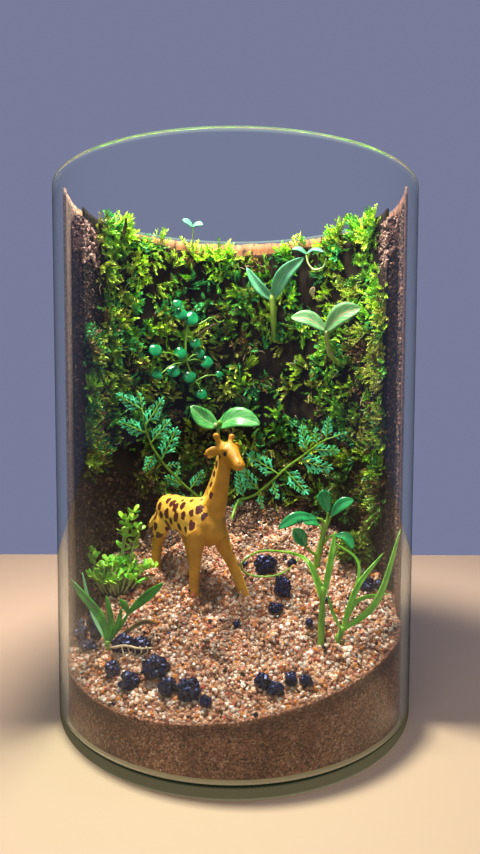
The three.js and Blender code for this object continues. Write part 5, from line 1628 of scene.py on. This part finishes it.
# across, up and radius of each leaf
COIN_LEAVES = [
    (-23.6, 142, 1.7), (-22.2, 138, 2.5), (-18.4, 136.6, 2.9), (-31.4, 123, 2.4), (-22.4, 122.4, 2.4),
    (-16.6, 126.6, 2.1), (-14.8, 122.4, 1.9), (-12.2, 119, 2.5), (-25, 115.2, 2.5), (-19, 113, 2.5),
    (-31, 113.6, 1.9), (-14.2, 106, 2.1), (-7, 114, 1.4),
]


def on_wall(x, z, radius):
    return np.array([x, math.sqrt(radius * radius - x * x), z])


def coin_leaf(centre, radius, face, seed):
    """A round glossy leaf, domed in the middle and drawn in where its stalk meets it."""
    obj = ball((0, 0, 0), (1, 1, 1), "coin_leaf", 4)
    turn = turned(face[None], np.array([seed * 1.7]))[0]
    for vertex in obj.data.vertices:
        x, y, z = vertex.co / MM
        rim = math.hypot(x, y)
        dish = -0.16 * radius * rim**2 + 0.09 * radius * math.sin(3 * math.atan2(y, x) + seed) * rim**3
        local = np.array([1.12 * x * radius, 1.12 * y * radius, z * 0.17 * radius + dish])
        vertex.co = Vector(turn @ local + centre) * MM
    return obj


def creeper_piece():
    stem_radius = CREEPER_RADIUS + 0.7
    runner = [on_wall(x, z, stem_radius) for x, z in CREEPER_RUNNER]
    paths = [
        (runner, [0.5, 0.5, 0.45, 0.3]),
        ([on_wall(-20.4, 127.6, 48), runner[1]], [0.55, 0.5]),
        ([on_wall(x, z, stem_radius) for x, z in TENDRIL], [0.35, 0.32, 0.3, 0.28, 0.2]),
    ]
    coins = []
    for number, (x, z, radius) in enumerate(COIN_LEAVES):
        centre = on_wall(x, z, CREEPER_RADIUS)
        face = unit(unit(centre * [-1, -1, 0]) * 0.6 + np.array([0, -0.8, 0.6]))
        nearest = min(runner, key=lambda p: np.linalg.norm(p - centre))
        middle = (nearest + centre) / 2 + np.array([0.0, -0.4, 0.9])
        paths.append(([nearest, middle, centre + [0.2 * radius, 0.5, -0.4 * radius]], [0.34, 0.3, 0.3]))
        coins.append(coin_leaf(centre, radius, face, number))
    settle("coin_leaf_creeper", [stems(paths, "green_stem", 10), *coins], ["creeper_coin_leaf"])


# ---------------------------------------------------------------- fern fronds

# each pinna: its share along the rachis, its heading in degrees and its length
FRONDS = [
    {
        "name": "fern_left",
        "node": "fern_frond_left",
        "foot": [[-14.6, 47, 64.6]],
        "rachis": [
            [-15.2, 40, 63], [-21, 35, 68.6], [-26.6, 28.4, 76], [-31.2, 22.4, 83.6], [-33.6, 17.4, 91.2],
            [-35, 13.6, 100.6],
        ],
        "face": [0.35, -0.9, 0.1],
        "pinnae": [
            (0.99, 152, 8), (0.97, 100, 5.4), (0.86, 56, 9.2), (0.8, 160, 8.4), (0.7, 48, 8.4),
            (0.6, 236, 6.4), (0.5, 62, 10.4), (0.44, 8, 4.2), (0.3, 74, 3.6), (0.2, 156, 6.6),
            (0.13, 52, 7.2), (0.09, 244, 4.4),
        ],
    },
    {
        "name": "fern_right",
        "node": "fern_frond_right",
        "foot": [[-1.6, 31.4, 49.4], [-1.4, 32.6, 56]],
        "rachis": [
            [1.4, 40, 61.6], [8, 37, 64.4], [14.4, 33.6, 70.4], [21.2, 29, 77.4],
            [27.8, 24, 83], [33, 19, 88], [36.4, 15.6, 89.8],
        ],
        "face": [-0.3, -0.93, 0.1],
        "pinnae": [
            (0.99, 18, 4.6), (0.9, 84, 6.2), (0.78, 96, 4.8), (0.72, -2, 8), (0.68, 104, 8),
            (0.58, -12, 10.8), (0.46, -42, 10), (0.41, 150, 11.4), (0.34, -66, 5.6), (0.22, 134, 9.2),
            (0.2, -68, 5), (0.06, 108, 8.4), (0.05, 216, 4.4),
        ],
    },
]


FROND_GROWTH = 1.34


def lobe_model():
    """A slim leaf finger one unit long, foot at the origin and tip along Z."""
    clear_selection()
    bpy.ops.mesh.primitive_ico_sphere_add(subdivisions=2, radius=MM)
    points, triangles = model_arrays(bpy.context.object)
    points = points * [0.17, 0.05, 0.5] + [0, 0, 0.5]
    points[:, 0] *= 0.45 + 0.7 * np.clip(points[:, 2], 0, 1)
    points[:, 1] += 0.06 * points[:, 2] ** 2
    return points, triangles


def fan(foot, way, side, reach, face, rng):
    """Three fingers that fan out from the end of a branch."""
    lobes = [(foot, way + face * rng.uniform(-0.1, 0.25), reach)]
    for sign in (-1, 1):
        lobes.append((foot, way * 0.8 + side * sign * 0.55 + face * rng.uniform(-0.1, 0.25), reach * 0.8))
    return lobes


def pinna_lobes(joint, heading, length, face, rng):
    """Feet, directions and lengths of the leaf fingers along one pinna, and its rib."""
    turn = math.radians(heading)
    face = unit(np.array(face, float))
    flat = np.array([math.cos(turn), 0.0, math.sin(turn)])
    side = unit(np.cross(flat, face))
    ahead = np.cross(face, side)
    tip = joint + ahead * length + face * 0.08 * length
    lobes = []
    branches = 4 if length > 8 else 3
    for i in range(branches):
        share = i / (branches - 1)
        reach = length * (0.38 - 0.14 * share) * rng.uniform(0.85, 1.1)
        for sign in (-1, 1):
            foot = joint + (tip - joint) * (0.16 + 0.56 * share + 0.04 * sign)
            way = unit(ahead * 0.8 + side * sign * 0.62 + face * rng.uniform(-0.1, 0.1))
            across = unit(side * 0.8 - ahead * sign * 0.62)
            lobes.append((foot, way, reach * 0.8))
            lobes += fan(foot + way * reach * 0.5, way, across, reach * 0.55, face, rng)
    lobes += fan(tip - (tip - joint) * 0.16, ahead, side, length * 0.22, face, rng)
    return lobes, [joint, joint + (tip - joint) * 0.5 + face * 0.03 * length, tip]


def frond_piece(frond, lobe):
    rng = random.Random(len(frond["pinnae"]))
    line = curve_points(frond["rachis"], 100)
    foot = [*frond["foot"], frond["rachis"][0], line[8]]
    paths = [(frond["rachis"], [0.62, 0.5, 0.3]), (foot, [0.55, 0.6])]
    lobes = []
    for share, heading, length in frond["pinnae"]:
        found, rib = pinna_lobes(line[round(share * 99)], heading, length * FROND_GROWTH, frond["face"], rng)
        lobes += found
        paths.append((rib, [0.3, 0.22, 0.14]))
    feet = np.array([p for p, _, _ in lobes])
    ways = np.array([w for _, w, _ in lobes])
    reach = np.array([r for _, _, r in lobes])
    # the flat of every lobe looks along the frond's face
    z = unit(ways)
    x = unit(np.cross(np.array(frond["face"]), z))
    turns = np.stack([x, np.cross(z, x), z], axis=2)
    draws = np.random.default_rng(len(lobes))
    level = draws.uniform(0.9, 1.4, (len(lobes), 1))
    tints = np.array(colour("56e0a4")) * level
    tints[draws.random(len(lobes)) < 0.25] = np.array(colour("58cc62"))
    shade = 0.7 + 0.4 * lobe[0][:, 2]
    blades = grown("lobes", [copies(lobe, turns, reach, feet, tints, shade)], "fern", True)
    settle(frond["name"], [stems(paths, "green_stem", 12), blades], [frond["node"]])


# ---------------------------------------------------------------- plants in the sand


CRESS_STEMS = 62
CRESS_SHOOTS = [
    [[0.6, 0, 1], [2.4, 0, 9], [3.0, 0.2, 18], [6.2, 0.8, 28]],
    [[1.6, 0.2, 1], [4.6, 0.6, 10], [7.6, 0.8, 21.8]],
    [[1.0, 0.0, 1], [2.0, 0.6, 14], [3.4, 0.8, 25.6]],
    [[2.6, 0.0, 1], [7.4, -0.2, 7.4], [13.4, -0.6, 8.6]],
    [[-2.4, 0, 1], [-7, 0, 6], [-8.6, -0.2, 14]],
    [[0.0, 0, 1], [-3.0, -1.6, 5], [-8.4, -3.0, 6]],
]


def spoon_model():
    """A small spoon leaf one unit long, foot at the origin and tip along Z."""
    clear_selection()
    bpy.ops.mesh.primitive_ico_sphere_add(subdivisions=2, radius=MM)
    points, triangles = model_arrays(bpy.context.object)
    points = points * [0.34, 0.07, 0.5] + [0, 0, 0.5]
    points[:, 0] *= 0.18 + 0.95 * np.clip(points[:, 2], 0, 1)
    points[:, 1] += 0.2 * points[:, 2] ** 2 - 0.25 * points[:, 0] ** 2
    return points, triangles


def cress_piece():
    """Low bright clump of spoon leaves with a few tall shoots."""
    rng = np.random.default_rng(33)
    base = on_sand(-42.4, 1.2)
    spoon = spoon_model()
    feet, ways, sizes, paths = [], [], [], []
    for i in range(CRESS_STEMS):
        azimuth, out = i * 137.5, math.sqrt((i + 0.5) / CRESS_STEMS)
        foot = base + polar(5.6 * out, azimuth, 0.0) * [1, 0.8, 1]
        height = 9.4 * (1 - 0.8 * out * out) + 3.0 * rng.random()
        crown = base + polar(8.8 * out, azimuth + rng.uniform(-14, 14), height) * [1.1, 0.8, 1]
        middle = (foot + crown) / 2 + polar(0.8, azimuth, 1.0)
        paths.append(([foot, middle, crown], [0.3, 0.26, 0.22]))
        for k in range(rng.integers(3, 6)):
            around = azimuth + 80 * k + rng.uniform(-25, 25)
            feet.append(crown)
            ways.append(polar(1.0, around, rng.uniform(-0.1, 1.0)))
            sizes.append(rng.uniform(2.3, 3.7))
    for shoot in CRESS_SHOOTS:
        line = curve_points([base + np.array(p) for p in shoot], 12)
        paths.append((line[::3], [0.5, 0.42, 0.36, 0.3]))
        for share in (0.4, 0.55, 0.7, 0.82, 0.92, 1.0):
            knot = line[round(share * 11)]
            for k in range(6 if share > 0.9 else 4):
                feet.append(knot)
                ways.append(polar(1.0, 72 * k + 360 * rng.random(), rng.uniform(0.1, 1.2)))
                sizes.append(rng.uniform(2.4, 3.8))
    count = len(feet)
    tints = np.array([colour("b6f048")] * count) * rng.uniform(0.65, 1.1, (count, 1))
    tints[rng.random(count) < 0.3] = np.array(colour("7ce048"))
    turns = turned(np.array(ways), rng.uniform(-0.6, 0.6, count))
    blades = grown("spoons", [copies(spoon, turns, np.array(sizes), np.array(feet), tints)], "cress", True)
    core = ball(base + [0, 0, -1.0], (5.4, 4.4, 1.4), "moss_floor", 4)
    settle("cress", [stems(paths, "pale_stem", 7), blades, core], ["cress_clump"])


# each leaf from its root: a point it bends through, its tip, half width, where it is widest and its finish
STRAP_LEAVES = [
    {"bend": [-2.6, 1.8, 9.6], "tip": [-14.9, 7, 21], "half": 1.4, "widest": 0.6},
    {
        "bend": [-6.7, 6.2, 10.1],
        "tip": [-10.6, 9.6, 21.4], "half": 0.6, "widest": 0.5, "finish": "strap_pale",
    },
    {"bend": [0.8, 1.2, 8.3], "tip": [-0.9, 2.2, 16.1], "half": 0.95, "widest": 0.6},
    {"bend": [3.0, 0.4, 7.6], "tip": [4.2, 1.2, 12.4], "half": 0.75, "widest": 0.6},
    {"bend": [6.8, 1.0, 11.4], "tip": [17.2, 1.8, 20.4], "half": 1.45, "widest": 0.76, "stalk": 0.45},
    {"bend": [6.0, 0.8, 10.2], "tip": [3.7, 1.2, 15.4], "half": 1.05, "widest": 0.8, "stalk": 0.5},
    {"bend": [10.4, -0.6, 8.4], "tip": [15.3, 0.4, 7.9], "half": 0.7, "widest": 0.5, "finish": "strap_brown"},
]


def strap_piece():
    base = on_sand(-39.6, -24.2)
    parts = [stems([([base + [0, 0, z] for z in (-4, 0.6, 2.4)], [0.9, 1.1, 0.9])], "green_stem")]
    for form in STRAP_LEAVES:
        points = [base + [0, 0, 1], base + np.array(form["bend"]), base + np.array(form["tip"])]
        shape = {"fold": 0.3, "thickness": 0.35, "base": 0.2, "stalk": form.get("stalk", 0.0)}
        finish = form.get("finish", "strap")
        parts.append(leaf(points, form["half"], form["widest"], TOWARD_VIEW, finish, **shape))
    # the pale runner that lies over the stones, and a few hair roots
    start = base + [1.8, -3.4, 1.6]
    runner = [start, start + [5, -3.4, 2.2], start + [9.4, -4.6, 1.8], start + [13.6, -5.0, 2.2]]
    paths = [(runner, [0.42, 0.4, 0.34, 0.24])]
    for k in range(5):
        hair = start + [4 + 1.8 * k, -3.6, 2.1]
        hanging = [hair, hair + [0.6, -0.8, -1.6], hair + [1.2 - 0.9 * k, -1.4, -3.0]]
        paths.append((hanging, [0.24, 0.2, 0.12]))
    parts.append(stems(paths, "root", 10))
    settle("strap_plant", parts, ["strap_leaf_plant"])


# each leaf from its root: its stalk, tip, half width, the lift of its middle, and where it is widest
OVAL_LEAVES = [
    {
        "stalk": [[4.2, -0.6, 13], [4.9, -1, 20.0]],
        "tip": [2.6, -1, 27.6], "half": 2.7, "lift": [0, 0, 0.2], "widest": 0.76,
    },
    {
        "stalk": [[4.2, -0.6, 14], [6.0, -1, 18.6]],
        "tip": [13.8, -2, 24.6], "half": 2.1, "lift": [-0.6, 0, 1.0],
    },
    {
        "stalk": [[4.2, -0.6, 14], [3.0, -0.9, 17], [1, -1, 17.8]],
        "tip": [-13, -4, 14.8], "half": 2.0, "lift": [0, 0, 2.2],
    },
    {
        "stalk": [[2.4, 0, 3.6], [-0.6, -1.2, 5.6], [-3.1, -2, 8.2]],
        "tip": [-7.9, -5, 14.8], "half": 2.6, "lift": [0.4, 0, 0],
    },
    {
        "stalk": [[3.8, -0.3, 9], [5.4, -0.8, 11.2], [7.4, -1, 11.8]],
        "tip": [13.4, -4, 7.6], "half": 1.7, "lift": [1, 0, 1.8],
    },
    {
        "stalk": [[3.8, 0, 12], [2, 1, 15]],
        "tip": [-3.4, 2.6, 15.6], "half": 1.5, "lift": [0, 0, 0.8],
    },
]


def oval_piece():
    base = on_sand(28, 2)
    path = [base + np.array(p) for p in ([0.8, 0, -5], [1.4, 0, 2.4], [2.8, -0.4, 9], [4.2, -0.6, 17])]
    stalks, blades = [(path, [1.2, 1.25, 1.0, 0.6])], []
    for form in OVAL_LEAVES:
        line = [base + np.array(p) for p in form["stalk"]]
        stalks.append((line, [0.55, 0.45]))
        tip = base + np.array(form["tip"])
        middle = (line[-1] + tip) / 2 + np.array(form["lift"])
        shape = {"fold": 0.22, "base": 0.2, "tip": 0.12}
        points = [line[-1], middle, tip]
        blades.append(leaf(points, form["half"], form.get("widest", 0.6), (0, -1, 0.5), "oval", **shape))
    drop = ball(base + [-5.4, -3.8, 17.4], (1.1, 1.0, 1.0), "coin_leaf", 4)
    parts = [stems(stalks, "green_stem", 16, 2), *blades, drop]
    settle("oval_plant", parts, ["oval_leaf_plant"])


GRASS_TUFTS = [
    {
        "name": "grass_front",
        "node": "grass_tuft_front",
        "root": [25.7, -33.4],
        "stem": [0.6, 1.2, 17],
        "half": 1.15,
        "blades": [
            {"bend": [3.1, 2.4, 25.1], "tip": [4.6, 4.4, 33], "half": 0.95},
            {"bend": [-2.9, 7.4, 22.4], "tip": [-8.8, 15.4, 24.1], "half": 0.6},
            {"bend": [-1.6, 1, 21], "tip": [-3.6, 2, 25], "half": 0.6},
        ],
    },
    {
        "name": "grass_side",
        "node": "grass_tuft_side",
        "root": [31, -32.2],
        "stem": [1.6, 1, 4],
        "half": 1.1,
        "blades": [
            {"bend": [7.1, 5.2, 21.2], "tip": [0.3, 9.2, 27.8], "half": 0.45},
            {"bend": [6.3, 3.2, 15.8], "tip": [15.4, 9.2, 24.4], "half": 0.85},
            {"bend": [6.2, 3.2, 11.3], "tip": [17.2, 9.2, 11.4], "half": 0.7},
            {"bend": [12.4, 4.2, 11.3], "tip": [20.6, 9.4, 32], "half": 1.0},
            {"bend": [-1.7, -0.4, 8.9], "tip": [-3.4, 0.2, 15.2], "half": 0.5},
        ],
    },
]
# the long thin runner of the front tuft, which loops round a stone and comes back
RUNNER_LOOP = [
    [0.6, 1.4, 17], [-2.9, 7.4, 22.6], [-7.8, 15.4, 23.3], [-16.6, 23.4, 21.8], [-21.9, 26.4, 18.3],
    [-23.6, 27.4, 15.2], [-21.1, 28.8, 12.2], [-15.4, 28.2, 11.6], [-10.0, 29.4, 12.2], [-5.4, 33.3, 13.8],
    [-2.8, 37.5, 15.4],
]


def grass_pieces():
    for tuft in GRASS_TUFTS:
        base = on_sand(*tuft["root"])
        top = base + np.array(tuft["stem"])
        foot = [base + [0, 0, -5], base + [0, 0, 0.6], (base + top) / 2, top]
        half = tuft["half"]
        parts = [stems([(foot, [half * 0.7, half * 0.9, half * 0.85, half * 0.6])], "green_stem", 12, 2)]
        for form in tuft["blades"]:
            start = base + (top - base) * 0.7
            points = [start, base + np.array(form["bend"]), base + np.array(form["tip"])]
            blade = leaf(points, form["half"], 0.35, TOWARD_VIEW, "grass", fold=0.35, base=0.5)
            parts.append(blade)
        if tuft["name"] == "grass_front":
            loop = [base + np.array(p) for p in RUNNER_LOOP]
            parts.append(stems([(loop, [0.45, 0.4, 0.36, 0.34, 0.32, 0.3])], "green_stem", 44, 2))
        settle(tuft["name"], parts, [tuft["node"]])


# ---------------------------------------------------------------- twigs and roots

# name, node, points from foot to tip, radius
TWIGS = [
    (
        "bent_twig",
        "twig_bent",
        [[-7.6, 48, 135.4], [-9, 42.6, 134.4], [-15, 40.2, 130.4], [-12.8, 40.8, 128.4]],
        0.5,
    ),
    ("stub_twig", "twig_stub", [[-43.4, 20.6, 163], [-41.4, 17.6, 167], [-40.6, 16.4, 170.4]], 0.75),
    ("leaning_twig", "twig_leaning", [[-36.6, 25.2, 45], [-35, 26.8, 50.6], [-29, 33, 67]], 0.45),
]


def twig_pieces():
    for name, node, points, radius in TWIGS:
        obj = stems([(points, [radius, radius * 0.9, radius * 0.6])], "twig", 26, 2)
        for vertex in obj.data.vertices:
            vertex.co += Vector((1, 1, 1)) * 0.1 * MM * noise.noise(vertex.co / (0.7 * MM))
        settle(name, [obj], [node])
    # pale hair roots that hang in front of the soil and the moss
    rng = random.Random(17)
    paths = []
    for _ in range(46):
        azimuth = rng.uniform(8, 172)
        z = rng.uniform(moss_foot(azimuth) + 4, 158)
        radius = soil_radius(azimuth) - 3.4
        start = polar(radius, azimuth, z)
        way = np.array([rng.uniform(-2.5, 2.5), rng.uniform(-1.6, 0.2), rng.uniform(-3.4, 1.6)])
        bend = np.array([rng.uniform(-1, 1), rng.uniform(-0.8, 0.2), rng.uniform(-1, 1)])
        paths.append(([start, start + way * 0.6 + bend, start + way * 1.5], [0.16, 0.13, 0.08]))
    settle("hair_roots", [stems(paths, "root", 7)])


# ---------------------------------------------------------------- room


TABLE_EDGE = 0.182


# name, place, target, size, power and colour
LAMPS = [
    ("top_lamp", (-0.028, 0.006, 0.305), (0, 0.0, 0.05), 0.05, 1.55, "fff4e8"),
    ("front_lamp", (-0.3, -0.6, 0.55), (0, 0, 0.08), 0.4, 1.6, "fff8f0"),
    ("right_lamp", (0.6, -0.2, 0.5), (0, 0, 0.08), 0.4, 0.6, "f4f6ff"),
]


def mirrored_outside(tree):
    """How often a ray was mirrored without passing through glass: the outside of the jar's reflection."""
    ray = put(tree, "ShaderNodeLightPath")
    outside = math_node(tree, "LESS_THAN", ray.outputs["Transmission Depth"], 0.5)
    return math_node(tree, "MULTIPLY", ray.outputs["Glossy Depth"], outside)


def pale_floor():
    clear_selection()
    bpy.ops.mesh.primitive_plane_add(size=2, location=(0, TABLE_EDGE - 1, -0.00005))
    floor = bpy.context.object
    floor.name = "floor"
    material, tree, shader = new_material("floor_paint", 0.6)
    paint = mix_colours(tree, blotches(tree, 3.0, 2.0, 0.3, 0.7), "cdb093", "d6bb9f")
    # darker where the outside of the glass mirrors it
    shown = mix_colours(tree, mirrored_outside(tree), paint, "40362c")
    floor.data.materials.append(finished(material, tree, shader, shown))


def soft_room():
    """A soft lavender room, dimmer where the outside of the glass mirrors it."""
    world = bpy.data.worlds.new("studio")
    world.use_nodes = True
    tree = world.node_tree
    room = tree.nodes["Background"]
    room.inputs["Color"].default_value = rgba("898eb0")
    level = between(tree, mirrored_outside(tree), 0.0, 1.0, 0.75, 0.16)
    tree.links.new(level, room.inputs["Strength"])
    bpy.context.scene.world = world


def studio():
    pale_floor()
    soft_room()
    # the lamps leave no reflection on the glass
    shined_on = bpy.data.collections.new("shined_on")
    for obj in bpy.context.scene.objects:
        if obj.name.startswith("jar"):
            shined_on.objects.link(obj)
    for entry in shined_on.collection_objects:
        entry.light_linking.link_state = "EXCLUDE"
    for name, place, target, size, power, tone in LAMPS:
        data = bpy.data.lights.new(name, "AREA")
        data.size = size
        data.energy = power
        data.color = colour(tone)
        lamp = bpy.data.objects.new(name, data)
        lamp.location = place
        lamp.rotation_euler = (Vector(target) - Vector(place)).to_track_quat("-Z", "Y").to_euler()
        lamp.visible_transmission = False
        lamp.visible_camera = False
        lamp.light_linking.receiver_collection = shined_on
        bpy.context.scene.collection.objects.link(lamp)


# the photograph's viewpoint
VIEW_SENSOR = 36.0
VIEW_LENS = 25.76
VIEW_PLACE = (0.00098, -0.21265, 0.1072)
VIEW_TURN = (math.pi / 2 - 0.0592, -0.0028, -0.003)


def view_camera():
    data = bpy.data.cameras.new("view")
    data.sensor_width = VIEW_SENSOR
    data.lens = VIEW_LENS
    data.clip_start = 0.01
    camera = bpy.data.objects.new("view", data)
    camera.location = VIEW_PLACE
    camera.rotation_euler = VIEW_TURN
    bpy.context.scene.collection.objects.link(camera)
    bpy.context.scene.camera = camera


BEDDED = bedded()
CLODS = clod_spots()
jar_piece()
bark_piece()
soil_piece()
moss_pieces()
sand_piece()
grain_pieces()
stone_pieces()
lava_grain_piece()
giraffe_piece()
seedling_pieces()
creeper_piece()
LOBE = lobe_model()
for each_frond in FRONDS:
    frond_piece(each_frond, LOBE)
cress_piece()
strap_piece()
oval_piece()
grass_pieces()
twig_pieces()
studio()
view_camera()
bpy.context.scene.view_settings.view_transform = "Standard"
